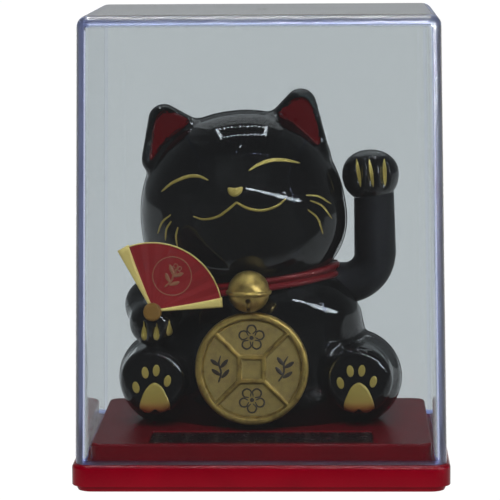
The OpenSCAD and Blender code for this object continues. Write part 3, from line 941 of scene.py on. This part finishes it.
# Painted lines of the face: points in world x and z, width and taper
FACE_LINES = (
    (((-23.6, 66.7), (-20.9, 68.9), (-17.4, 70.5), (-14.6, 70.7), (-12.3, 69.9)), 0.72, (0.2, 1.0, 0.2)),
    (((-2.9, 72.1), (-0.6, 73.4), (2.4, 74.3), (5.6, 74.2), (9.0, 73.4)), 0.82, (0.2, 1.0, 0.15)),
    (((-15.9, 61.5), (-13.4, 60.9), (-10.2, 61.6), (-7.6, 63.4), (-5.7, 65.0)), 0.55, (0.4, 1.0, 0.7)),
    (((-5.7, 65.0), (-3.0, 63.6), (0.2, 63.1), (3.4, 63.9), (5.7, 65.6)), 0.6, (0.7, 1.0, 0.4)),
)
WHISKERS = (
    ((-21.3, 61.5), (-23.4, 59.6), (-24.6, 56.7)), ((-21.2, 60.0), (-22.4, 58.0), (-22.7, 55.3)),
    ((-19.6, 58.7), (-20.1, 56.5), (-19.8, 54.0)), ((10.4, 66.1), (13.4, 65.5), (16.2, 63.5)),
    ((11.3, 64.8), (14.2, 63.2), (16.4, 60.0)), ((10.8, 62.7), (13.1, 60.4), (14.3, 56.6)),
)
NOSE = ((-7.7, 68.3), (-6.0, 68.3), (-4.3, 68.5), (-4.6, 67.1), (-6.1, 66.3), (-7.4, 66.9))


def make_face():
    """Gold features and red ear linings, painted on the head."""
    place = on_field(head_field, -30.0)
    lines = [stroke(place, points, width, taper=taper) for points, width, taper in FACE_LINES]
    lines += [stroke(place, points, 0.42, taper=(0.5, 1.0, 0.3)) for points in WHISKERS]
    lines.append(blob(place, NOSE, height=0.25))
    add_piece("face_lines", *join_parts(lines), "gold_line", "base", slot="gold_paint")
    linings = [blob(place, points, count=56, rings=14, height=0.03) for points in EAR_LININGS.values()]
    add_piece("ear_linings", *join_parts(linings), "ear_red", "base", slot="collar_red")


# ---------------------------------------------------------------- body

CAT_X, CAT_Y = -0.9, 5.0
TORSO_Z = 24.0
LEG_X, LEG_Y, LEG_Z, LEG_R = 22.45, 3.0, 20.7, 11.4
FOOT_X, FOOT_Z, FOOT_R, FOOT_Y = 24.0, 22.6, 7.9, -15.5
SHOULDER, ELBOW = (-19, -1, 38.5), (-26.3, -4, 39.2)
FAN_PAW, FAN_PAW_R = (-25.6, -12.5, 36.2), 5.4
FAN_CLAWS = (-27.5, -24.6, -21.6)
BORE_R, BORE_X = 5.5, 10.0


def shoulder_bore(p):
    across = np.hypot(p[..., 1] - PIVOT[1], p[..., 2] - PIVOT[2]) - BORE_R
    return np.maximum(across, BORE_X - p[..., 0])


def body_field(p):
    torso = egg(p, (CAT_X, CAT_Y, TORSO_Z), (26.0, 18.5), 25.6, 20.0, 2.25)
    torso = blend(torso, egg(p, (8.3, 1.0, 37.0), (14.2, 12.0), 10.4, 12.0, 2.0), 3.0)
    tail = limb(p, (CAT_X + 4, CAT_Y + 16, 15.2), (CAT_X + 12, CAT_Y + 15, 16.2), 3.6, 3.9)
    torso = blend(torso, tail, 1.5)
    torso = np.maximum(torso, (p - from_head((0, 0, NECK_BASE + 0.6))) @ HEAD_UPRIGHT)
    for side in (-1, 1):
        leg = ball(p, (CAT_X + side * LEG_X, LEG_Y, LEG_Z), LEG_R)
        foot_x = CAT_X + side * FOOT_X + (-0.6 if side < 0 else -0.5)
        across = np.hypot(p[..., 0] - foot_x, p[..., 2] - FOOT_Z)
        foot = pill(across, p[..., 1] - FOOT_Y / 2, FOOT_R, -FOOT_Y / 2, 2.6)
        torso = blend(torso, blend(leg, foot, 1.6), 0.9)
    arm = limb(p, SHOULDER, ELBOW, 6.6, 6.2)
    arm = blend(arm, limb(p, ELBOW, FAN_PAW, 6.0, FAN_PAW_R - 0.2), 1.5)
    arm = blend(arm, ball(p, FAN_PAW, FAN_PAW_R), 0.8)
    for x in FAN_CLAWS:
        groove = egg(p, (x, FAN_PAW[1] - 4.9, 34.4), (0.75, 1.2), 3.2, 3.0)
        arm = carve(arm, groove, 0.6)
    field = blend(torso, arm, 1.2)
    return carve(field, shoulder_bore(p), 0.5)


def make_body():
    body = skin(body_field, (-38, -20, 2), (37, 29, 52), 0.6)
    cuts = [((0, 0, DECK_Z + 0.02), (0, 0, -1))]
    half_shells("body", body, "black_gloss", cuts, ("body_front", "body_rear"))


# Outline of a sole's pad, of a fan claw's drop, and each sole's pad centre, mirroring, toes and toes' lean
PAD_SHAPE = ((0.0, 3.9), (1.7, 3.0), (2.8, 1.0), (3.6, -1.2), (3.4, -2.9), (2.2, -3.6), (1.0, -3.1),
             (0.1, -2.5), (-0.9, -3.2), (-2.1, -3.8), (-3.3, -3.2), (-3.5, -1.5), (-2.8, 0.8), (-1.7, 2.8))
CLAW_SHAPE = ((0, 0), (0.3, 0.3), (0.68, 0.72), (0.5, 0.93), (0, 1.0), (-0.5, 0.93), (-0.68, 0.72),
              (-0.3, 0.3))
CLAW_TOP, CLAW_LENGTHS = 37.5, (5.0, 4.9, 4.0)
SOLES = (((-25.3, 18.5), 1, ((-29.6, 21.3), (-27.4, 24.8), (-24.8, 25.3), (-22.2, 22.8)), (12, 8, -4, -12)),
         ((22.7, 18.5), -1, ((18.3, 22.3), (20.6, 25.1), (23.3, 25.2), (26.0, 22.6)), (14, 6, -6, -14)))


def make_paw_prints():
    """Gold pads and toes on both soles, and the claws of the paw that holds the fan."""
    place = on_field(body_field, -24.0)
    prints = []
    for centre, flip, toes, turns in SOLES:
        shape = [(centre[0] + flip * x, centre[1] + z) for x, z in PAD_SHAPE]
        prints.append(blob(place, shape, count=60, rings=8))
        for toe, turn in zip(toes, turns):
            prints.append(blob(place, oval(toe, (0.82, 1.4), turn), closed=True))
    for x, length in zip(FAN_CLAWS, CLAW_LENGTHS):
        prints.append(blob(place, [(x + w, CLAW_TOP - h * length) for w, h in CLAW_SHAPE], height=0.12))
    # The pads' gold carries a painted orange reflection of the red deck towards their foot
    add_piece("paw_prints", *join_parts(prints), "pad_gold", "base", slot="gold_paint")


# ---------------------------------------------------------------- waving arm

ARM_R, BEND_R, ARM_X, STUB_X = 4.9, 7.3, 26.7, 14.5
WRIST_Z = 66.2
PAW_AT = (PAW_LOW + PAW_HIGH) / 2
PAW_R = (PAW_HIGH[0] - PAW_LOW[0]) / 2
PAW_CENTRE = np.array([PAW_AT[0], PIVOT[1], PAW_HIGH[2] - PAW_R])
WAVE_CLAWS = (-2.9, 0.1, 3.3)


def arm_field(p):
    bend_x, bend_z = ARM_X - BEND_R, PIVOT[2] + BEND_R
    dy = p[..., 1] - PIVOT[1]
    stub = limb(p, (STUB_X + 1, PIVOT[1], PIVOT[2]), (bend_x, PIVOT[1], PIVOT[2]), ARM_R, ARM_R)
    around = np.hypot(p[..., 0] - bend_x, p[..., 2] - bend_z)
    turned = (p[..., 0] >= bend_x) & (p[..., 2] <= bend_z)
    elbow = np.where(turned, np.hypot(around - BEND_R, dy) - ARM_R, 1e3)
    forearm = limb(p, (ARM_X, PIVOT[1], bend_z), (ARM_X - 0.3, PIVOT[1], WRIST_Z), ARM_R + 0.1, ARM_R - 0.15)
    field = np.minimum(np.minimum(stub, elbow), forearm)
    return np.maximum(field, STUB_X - p[..., 0])


def paw_field(p):
    field = egg(p, PAW_CENTRE, (PAW_R, PAW_R - 0.2), PAW_R - 1.0, PAW_R, 2.1)
    for dx in WAVE_CLAWS:
        depth = math.sqrt(PAW_R ** 2 - dx ** 2)
        groove = egg(p, PAW_CENTRE + np.array([dx, -depth + 0.2, 1.6]), (0.95, 1.5), 5.6, 4.8)
        field = carve(field, groove, 0.9)
    return field


def make_arm():
    arm = add_piece("arm_tube", *skin(arm_field, (12, -2, 36), (34, 12, 73), 0.5), "black_matte", "arm")
    cut(arm, (STUB_X + 0.3, 0, 0), (-1, 0, 0), fill=True)
    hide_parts("waving_arm")
    low, high = PAW_CENTRE - PAW_R - 1.5, PAW_CENTRE + PAW_R + 1.5
    paw = add_piece("paw_ball", *skin(paw_field, low, high, 0.35), "black_gloss", "arm")
    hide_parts("waving_paw")
    place = on_field(paw_field, -10.0)
    claws = []
    for dx, lean in zip(WAVE_CLAWS, (0.5, 0.5, 0.1)):
        x, z = PAW_CENTRE[0] + dx, PAW_CENTRE[2]
        claws.append(stroke(place, ((x - lean, z + 4.0), (x, z + 0.8), (x + lean, z - 2.6)), 0.9, 24,
                            taper=(0.0, 1.0, 0.0)))
    add_piece("paw_claws", *join_parts(claws), "gold_line", "arm", slot="gold_paint")


# ---------------------------------------------------------------- collar, bell, coin and fan

COLLAR_HALF = (21.5, 15.0)
# Profile of the band's two round tiers: how far in from the outer oval, and the height in the head's frame
COLLAR_PROFILE = ((0.9, -16.0), (0.35, -15.85), (0.08, -15.45), (0.1, -15.0), (0.4, -14.66), (0.66, -14.42),
                  (0.38, -14.16), (0.05, -13.75), (0.0, -13.3), (0.2, -12.85), (0.75, -12.62))
COLLAR_INSIDE = 6.5


def make_collar():
    """Two-tier band round the neck, opened where the arm's shoulder passes."""
    angle = np.linspace(0, 2 * math.pi, 120, endpoint=False)
    rings = []
    outside = smooth_through(COLLAR_PROFILE, 31)
    for inset, z in [*outside, (COLLAR_INSIDE, outside[-1][1]), (COLLAR_INSIDE, outside[0][1])]:
        flat = [(COLLAR_HALF[0] - inset) * np.cos(angle), (COLLAR_HALF[1] - inset) * np.sin(angle)]
        rings.append(from_head(np.stack([*flat, np.full(angle.shape, z)], -1)))
    collar = add_piece("collar_band", *loft(rings, closed=True), "collar_red", "base")
    bore = [circle(BORE_R, (x, *PIVOT[1:]), 0, 48) for x in (BORE_X, BORE_X + 25)]
    subtract(collar, *loft(bore))
    soften(collar, 50)
    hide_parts("collar")


BELL_R = 4.9
BELL_AT = np.array([(BELL_LOW[0] + BELL_HIGH[0]) / 2, BELL_LOW[1] + BELL_R + 0.45, BELL_LOW[2] + BELL_R])


def bell_field(p):
    q = p - BELL_AT
    field = np.maximum(ball(q, (0, 0, 0), BELL_R), -ball(q, (0, 0, 0), BELL_R - 0.7))
    across = np.hypot(q[..., 0], q[..., 1])
    rim = np.maximum(pill(across, q[..., 2] + 0.15, BELL_R + 0.45, 0.42, 0.3), BELL_R - 1.2 - across)
    field = blend(field, rim, 0.25)
    slot = np.maximum(np.abs(q[..., 0]) - 0.32, np.maximum(q[..., 2] + 1.6, q[..., 1] + 0.5))
    hole = np.maximum(np.hypot(q[..., 0], q[..., 2] + 1.7) - 0.62, q[..., 1] + 1.0)
    stem = limb(q, (0, BELL_R - 0.5, 0), (0, BELL_R + 2.2, 0), 1.15, 1.15)
    return blend(carve(field, np.minimum(slot, hole), 0.12), stem, 0.3)


def make_bell():
    low = BELL_AT - (BELL_R + 1.2, BELL_R + 1.2, BELL_R + 1)
    high = BELL_AT + (BELL_R + 1.2, BELL_R + 3.8, BELL_R + 1)
    bell = add_piece("bell_shell", *skin(bell_field, low, high, 0.2), "gold_paint", "base")
    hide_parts("bell")
    pea = BELL_AT + (0, -1.4, -2.6)
    pea_skin = skin(lambda p: ball(p, pea, 1.3), pea - 2, pea + 2, 0.3)
    add_piece("bell_pea", *pea_skin, "gold_paint", "base")


COIN_R = (COIN_HIGH[0] - COIN_LOW[0]) / 2
COIN_AT = np.array([(COIN_LOW[0] + COIN_HIGH[0]) / 2, COIN_LOW[1], (COIN_LOW[2] + COIN_HIGH[2]) / 2])
COIN_RIM, COIN_SINK, COIN_THICK = 1.5, 0.75, 2.8
FRAME_OUT, FRAME_IN = 3.3, 2.3


def coin_field(p):
    q = p - COIN_AT
    x, y, z = q[..., 0], q[..., 1], q[..., 2]
    across = np.hypot(x, z)
    disc = pill(across, y - COIN_THICK / 2, COIN_R, COIN_THICK / 2, 0.9)
    square = np.maximum(np.abs(x), np.abs(z))
    ridge = np.minimum(np.abs(x - z), np.abs(x + z)) / math.sqrt(2) - 0.42
    well = np.maximum(across - (COIN_R - COIN_RIM), y - COIN_SINK)
    well = carve(well, np.minimum(square - FRAME_OUT, ridge), 0.25)
    well = np.minimum(well, np.maximum(square - FRAME_IN, y - COIN_SINK + 0.1))
    line = np.maximum(np.abs(across - (COIN_R - COIN_RIM) + 0.3) - 0.16, y - COIN_SINK - 0.25)
    well = np.minimum(well, np.maximum(line, -ridge))
    stem = limb(q, (0, COIN_THICK, 0), (0, COIN_THICK + 4.0, 0), 1.9, 1.9)
    return blend(carve(disc, well, 0.25), stem, 0.3)


PETAL = ((0.3, -0.08), (0.62, -0.36), (0.98, -0.2), (0.98, 0.2), (0.62, 0.36), (0.3, 0.08))


def blossom(place, centre, size, turn_deg=0.0):
    """Five-petalled flower drawn in thin lines."""
    parts = []
    for k in range(5):
        turn = math.radians(turn_deg + 72 * k)
        tip = np.array([math.sin(turn), math.cos(turn)])
        side = np.array([tip[1], -tip[0]])
        points = [centre + size * (along * tip + across * side) for along, across in PETAL]
        parts.append(stroke(place, points, 0.13 * size, 24, taper=(0.5, 1.0, 0.5), height=0.05))
    parts.append(blob(place, oval(centre, (0.17 * size, 0.17 * size)), closed=True, rings=4, height=0.05))
    return parts


def sprig(place, centre, size, turn_deg=0.0):
    """Bent stem with four leaves, drawn in thin lines."""
    turn = math.radians(turn_deg)

    def at(x, z):
        return centre + size * np.array([x * math.cos(turn) - z * math.sin(turn),
                                         x * math.sin(turn) + z * math.cos(turn)])

    parts = [stroke(place, (at(-0.25, -1.0), at(0.05, -0.3), at(-0.02, 0.4), at(0.2, 1.0)), 0.14 * size, 24,
                    taper=(0.7, 1.0, 0.3), height=0.05)]
    for x, z, lean in ((-0.62, -0.15, -1), (0.68, -0.35, 1), (-0.6, 0.6, -1), (0.7, 0.42, 1)):
        root = at(0.02, z - 0.35)
        parts.append(stroke(place, (root, at(0.55 * x, z - 0.1 * lean * x), at(x, z + 0.22)), 0.3 * size, 18,
                            taper=(0.1, 1.0, 0.1), height=0.05))
    return parts


def make_coin():
    low = COIN_AT - (COIN_R + 1, 1, COIN_R + 1)
    high = COIN_AT + (COIN_R + 1, COIN_THICK + 6.5, COIN_R + 1)
    coin = add_piece("coin_disc", *skin(coin_field, low, high, 0.22), "gold_paint", "base")
    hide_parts("coin")
    coin.data.materials.append(MATERIALS["coin_field"])
    middle = COIN_AT[[0, 2]]
    for face in coin.data.polygons:
        x, y, z = face.center / MM
        sunk = y > COIN_AT[1] + 0.5 * COIN_SINK and face.normal.y < -0.8
        if sunk and math.hypot(x - middle[0], z - middle[1]) < COIN_R - COIN_RIM:
            face.material_index = 1
    place = on_plane(COIN_AT[1] + COIN_SINK - 0.01)
    reach = 7.35
    motifs = blossom(place, middle + (0, reach), 2.9) + blossom(place, middle - (0, reach), 2.9, 36)
    for side in (1, -1):
        motifs += sprig(place, middle + (side * (reach + 0.1), 0), 3.1, -8 * side)
    add_piece("coin_motifs", *join_parts(motifs), "motif_brown", "base", slot="gold_paint")


FAN_AT = np.array([-25.3, FAN_HIGH[1] - 5.5, 39.7])
FAN_FROM, FAN_TO, FAN_R = 3.6, 119.3, 16.2
FAN_RING = np.array([-20.7, 48.1])
FOLDS = 9


def fan_grid(rho, degrees, y):
    turn = np.radians(degrees)
    return np.stack([FAN_AT[0] + rho * np.cos(turn), y + 0 * rho * turn, FAN_AT[2] + rho * np.sin(turn)], -1)


def make_fan():
    """Pleated red leaf, gold guard sticks, rim, rivet and a ringed sprig with a blossom."""
    degrees, rho = np.meshgrid(np.linspace(FAN_FROM, FAN_TO, 12 * FOLDS + 1), np.linspace(1.2, FAN_R, 16),
                               indexing="ij")
    fold = (degrees - FAN_FROM) / (FAN_TO - FAN_FROM) * FOLDS
    wave = np.abs((fold % 1) - 0.5) * 2
    front = FAN_AT[1] - 1.0 + 0.3 * wave * (rho / FAN_R) ** 1.5
    leaf = add_piece("fan_leaf", *plate(fan_grid(rho, degrees, front), fan_grid(rho, degrees, front + 0.75)),
                     "fan_red", "base", sharp_deg=45)
    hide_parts("fan")
    parts = []
    for edge, side, wide in ((FAN_FROM, 1, 2.3), (FAN_TO, -1, 2.9)):
        along, across = np.meshgrid(np.linspace(1.5, FAN_R + 0.15, 14), np.linspace(0, 1, 6), indexing="ij")
        width = 0.55 + (wide - 0.55) * (along / FAN_R) ** 1.3
        turn = math.radians(edge)
        x = FAN_AT[0] + along * math.cos(turn) - side * across * width * math.sin(turn)
        z = FAN_AT[2] + along * math.sin(turn) + side * across * width * math.cos(turn)
        top = FAN_AT[1] - 1.05 - 0.2 * (1 - (2 * across - 1) ** 6)
        under = np.full(x.shape, FAN_AT[1] - 0.1)
        parts.append(plate(np.stack([x, top, z], -1), np.stack([x, under, z], -1)))
    degrees, across = np.meshgrid(np.linspace(FAN_FROM, FAN_TO, 60), np.linspace(0, 1, 4), indexing="ij")
    rho = FAN_R - 0.15 + 0.25 * across
    top = FAN_AT[1] - 1.05 - 0.08 * (1 - (2 * across - 1) ** 2)
    parts.append(plate(fan_grid(rho, degrees, top), fan_grid(rho, degrees, top * 0 + FAN_AT[1] - 0.3)))
    add_piece("fan_sticks", *join_parts(parts), "guard_gold", "base", slot="gold_paint")
    profile = ((1.0, 5.4), (1.0, 0.0), (2.15, 0.0), (2.15, -1.35), (1.95, -1.6), (1.4, -1.68), (0.5, -1.7))
    rivet = [circle(r, FAN_AT + (0, y, 0), 1, 40) for r, y in profile]
    add_piece("fan_rivet", *loft(rivet), "hub_gold", "base", slot="gold_paint", sharp_deg=50)
    place = on_plane(FAN_AT[1] - 1.0)
    ring = oval(FAN_RING, (4.5, 4.5), 0, 33)
    motif = [stroke(place, ring[[*range(33), 0]], 0.2, 120, taper=(1, 1, 1), height=0.04)]
    motif += sprig(place, FAN_RING + (0.1, -0.2), 2.9, -24)
    motif += blossom(place, FAN_RING + (0.9, 1.5), 1.3)
    add_piece("fan_motif", *join_parts(motif), "motif_rust", "base", slot="gold_paint")


# ---------------------------------------------------------------- stage, lights and camera

CAMERA_AZIMUTH, CAMERA_ELEVATION, CAMERA_ROLL = map(math.radians, (1.76, 7.25, -0.35))
CAMERA_DISTANCE = 688.0
CAMERA_TARGET = np.array([-3.16, 0.0, 51.67])
CAMERA_LENS = 207.8


def camera_axes():
    """Right, up and back of the camera, in the world."""
    back = np.array([math.sin(CAMERA_AZIMUTH) * math.cos(CAMERA_ELEVATION),
                     -math.cos(CAMERA_AZIMUTH) * math.cos(CAMERA_ELEVATION), math.sin(CAMERA_ELEVATION)])
    right = np.cross(-back, (0, 0, 1))
    right /= np.linalg.norm(right)
    up = np.cross(right, -back)
    c, s = math.cos(CAMERA_ROLL), math.sin(CAMERA_ROLL)
    return c * right + s * up, c * up - s * right, back


def add_camera():
    right, up, back = camera_axes()
    camera = add_object("camera", bpy.data.cameras.new("camera"))
    camera.data.lens = CAMERA_LENS
    camera.data.clip_start = 0.01
    camera.data.clip_end = 50
    place = Matrix([[*row, 0] for row in np.stack([right, up, back], 1)] + [[0, 0, 0, 1]])
    place.translation = Vector((CAMERA_TARGET + back * CAMERA_DISTANCE) * MM)
    camera.matrix_world = place
    bpy.context.scene.camera = camera
    return np.array(place.translation) / MM


PALE = 1.02
FLOOR_FRONT, FLOOR_FADE = 0.1, (-70.0, -38.0)
ROOM_FRONT, ROOM_BACK, ROOM_FADE = 0.075, 0.36, (-0.3, 0.9)


def glow_along_y(tree, place, low, high, fade):
    """Strength that rises along Y for light that falls on the object or is mirrored in it, and is pale
    wherever the eye sees the stage directly or through the clear case."""
    nodes, links = tree.nodes, tree.links
    split = nodes.new("ShaderNodeSeparateXYZ")
    links.new(place, split.inputs[0])
    rise = nodes.new("ShaderNodeMapRange")
    rise.interpolation_type = "SMOOTHSTEP"
    for name, number in zip(("From Min", "From Max", "To Min", "To Max"), (*fade, low, high)):
        rise.inputs[name].default_value = number
    links.new(split.outputs["Y"], rise.inputs["Value"])
    ray, work_out = nodes.new("ShaderNodeLightPath").outputs, partial(math_node, tree)
    seen = work_out("MAXIMUM", ray["Is Camera Ray"], ray["Is Transmission Ray"])
    bounced = work_out("ADD", ray["Glossy Depth"], ray["Diffuse Depth"])
    direct = work_out("GREATER_THAN", seen, bounced)
    mix = nodes.new("ShaderNodeMix")
    mix.inputs["B"].default_value = PALE
    links.new(direct, mix.inputs["Factor"])
    links.new(rise.outputs["Result"], mix.inputs["A"])
    return mix.outputs["Result"]


def add_floor():
    """Pale glowing table top out to the horizon."""
    profile = ((0.5, -5), (9000, -5), (9000, 0), (400, 0), (0.5, 0))
    floor = add_mesh("floor", *loft([circle(r, (0, 0, z), count=64) for r, z in profile]))
    finish = Finish("floor", (0.02, 0.02, 0.02), specular=0.0)
    finish.roughness(finish.noise(0.01), 0.6, 0.7)
    finish.shader.inputs["Emission Color"].default_value = (1, 1, 1, 1)
    fade = [edge * MM for edge in FLOOR_FADE]
    strength = glow_along_y(finish.tree, finish.place, FLOOR_FRONT, PALE, fade)
    finish.links.new(strength, finish.shader.inputs["Emission Strength"])
    floor.data.materials.append(finish.material)


def add_world():
    """A room that is dim in front of the object and lighter behind it."""
    world = bpy.data.worlds.new("studio")
    bpy.context.scene.world = world
    world.use_nodes = True
    nodes = world.node_tree.nodes
    place = nodes.new("ShaderNodeTexCoord").outputs["Generated"]
    strength = glow_along_y(world.node_tree, place, ROOM_FRONT, ROOM_BACK, ROOM_FADE)
    world.node_tree.links.new(strength, nodes["Background"].inputs["Strength"])
    nodes["Background"].inputs["Color"].default_value = (0.95, 0.98, 1.0, 1)


def add_area(name, at, aim, size, watts):
    """Rectangular soft light at a place, aimed at a point."""
    light = bpy.data.lights.new(name, "AREA")
    light.shape = "RECTANGLE"
    light.size, light.size_y = (s * MM for s in size)
    light.energy = watts
    lamp = add_object(name, light)
    towards = Vector(np.asarray(aim, float) - np.asarray(at, float))
    turn = towards.to_track_quat("-Z", "Y").to_matrix().to_4x4()
    lamp.matrix_world = Matrix.Translation(Vector(at) * MM) @ turn
    return lamp


def mirror_place(eye, point, normal, distance):
    """Where a light has to be for the eye to see it reflected at a point."""
    towards = (point - eye) / np.linalg.norm(point - eye)
    bounce = towards - 2 * (towards @ normal) * normal
    return point + bounce * distance


# Where lights are seen reflected on the cat, in world x and z; a streak spot also has its half widths
STREAK_TOP = ((-3.4, 68.35), (-1.5, 68.0), (1.5, 67.3), (5.2, 66.4), (8.8, 65.3))
STREAK_FOOT = ((-3.4, 68.0), (-1.5, 67.6), (1.5, 66.75), (5.2, 65.6), (8.8, 64.75))
STREAK_SPOTS = (((5.2, 65.95), (0.9, 0.34)), ((8.5, 65.05), (0.8, 0.28)), ((5.3, 66.95), (0.6, 0.16)),
                ((-2.4, 67.9), (0.8, 0.22)))
BODY_SPOTS = ((-21.9, 26.5), (13.3, 13.4), (5.1, 43.3), (24.8, 27.1))
FRAME_TOP = ((-10.7, 81.0), (-7.7, 81.5), (-4.7, 81.75), (-1.7, 81.75), (1.2, 81.55))
FRAME_FOOT = ((-9.5, 79.2), (-7.0, 79.7), (-4.4, 79.97), (-1.8, 80.0), (0.9, 79.8))
FRAME_LAMPS = 14


def glow(name, strength):
    """A lamp that is seen in reflections and lights no matt surface."""
    material = bpy.data.materials.new(name)
    material.use_nodes = True
    nodes, links = material.node_tree.nodes, material.node_tree.links
    shader = nodes["Principled BSDF"]
    shader.inputs["Base Color"].default_value = (0, 0, 0, 1)
    shader.inputs["Emission Color"].default_value = (0.93, 0.96, 1, 1)
    ray, fall = nodes.new("ShaderNodeLightPath"), nodes.new("ShaderNodeMapRange")
    fall.inputs["To Min"].default_value, fall.inputs["To Max"].default_value = strength, 0.0
    links.new(ray.outputs["Diffuse Depth"], fall.inputs["Value"])
    links.new(fall.outputs["Result"], shader.inputs["Emission Strength"])
    return material


def add_mirrored(name, eye, place, outlines, strength, distance=600.0):
    """Lamps so placed that the eye sees them reflected inside the outlines on a glossy form."""
    vertices, faces = [], []
    for outline in outlines:
        points, normals = place(np.asarray(outline, float))
        faces.append([len(vertices) + i for i in range(len(points))])
        vertices += [mirror_place(eye, p, n, distance) for p, n in zip(points, normals)]
    lamps = add_mesh(name, vertices, faces)
    lamps.data.materials.append(glow(name, strength))
    lamps.visible_camera = lamps.visible_diffuse = False


def add_reflections(eye):
    """A lamp frame on the forehead, a long window over the muzzle and spots on the body."""
    face = on_field(head_field, -30.0)
    top, foot = smooth_through(FRAME_TOP, FRAME_LAMPS), smooth_through(FRAME_FOOT, FRAME_LAMPS)
    dots = [*top, *foot]
    for end, inner in ((0, 1), (-1, -2)):
        for share in np.linspace(0.15, 0.85, 4):
            for column in (0, 0.45):
                start = top[end] + column * (top[inner] - top[end])
                finish = foot[end] + column * (foot[inner] - foot[end])
                dots.append(start + share * (finish - start))
    add_mirrored("lamp_frame", eye, face, [oval(dot, (0.2, 0.2), 0, 8) for dot in dots], 120)
    top, foot = smooth_through(STREAK_TOP, 25), smooth_through(STREAK_FOOT, 25)
    panes = [np.array([top[i], top[i + 1], foot[i + 1], foot[i]]) for i in range(24)]
    add_mirrored("window", eye, face, panes, 26)
    add_mirrored("window_panes", eye, face, [oval(*spot, -14, 16) for spot in STREAK_SPOTS], 200, 580.0)
    body = on_field(body_field, -24.0)
    add_mirrored("lamps", eye, body, [oval(spot, (0.2, 0.2), 0, 10) for spot in BODY_SPOTS], 110)


def light_stage(eye):
    add_floor()
    add_world()
    add_area("top", (0, 700, 900), (0, 0, 40), (900, 700), 2.6)
    fill = add_area("fill", (0, -900, 650), (0, 0, 40), (600, 450), 11)
    fill.visible_glossy = fill.visible_transmission = False
    add_reflections(eye)
    scene = bpy.context.scene
    scene.cycles.max_bounces = 32
    scene.cycles.transmission_bounces = 32
    scene.cycles.glossy_bounces = 8
    scene.view_settings.view_transform = "Standard"


eye = add_camera()
dress_cad()
make_base()
make_cover()
make_cell_resin()
make_case()
make_head()
make_face()
make_body()
make_paw_prints()
make_arm()
make_collar()
make_bell()
make_coin()
make_fan()
light_stage(eye)
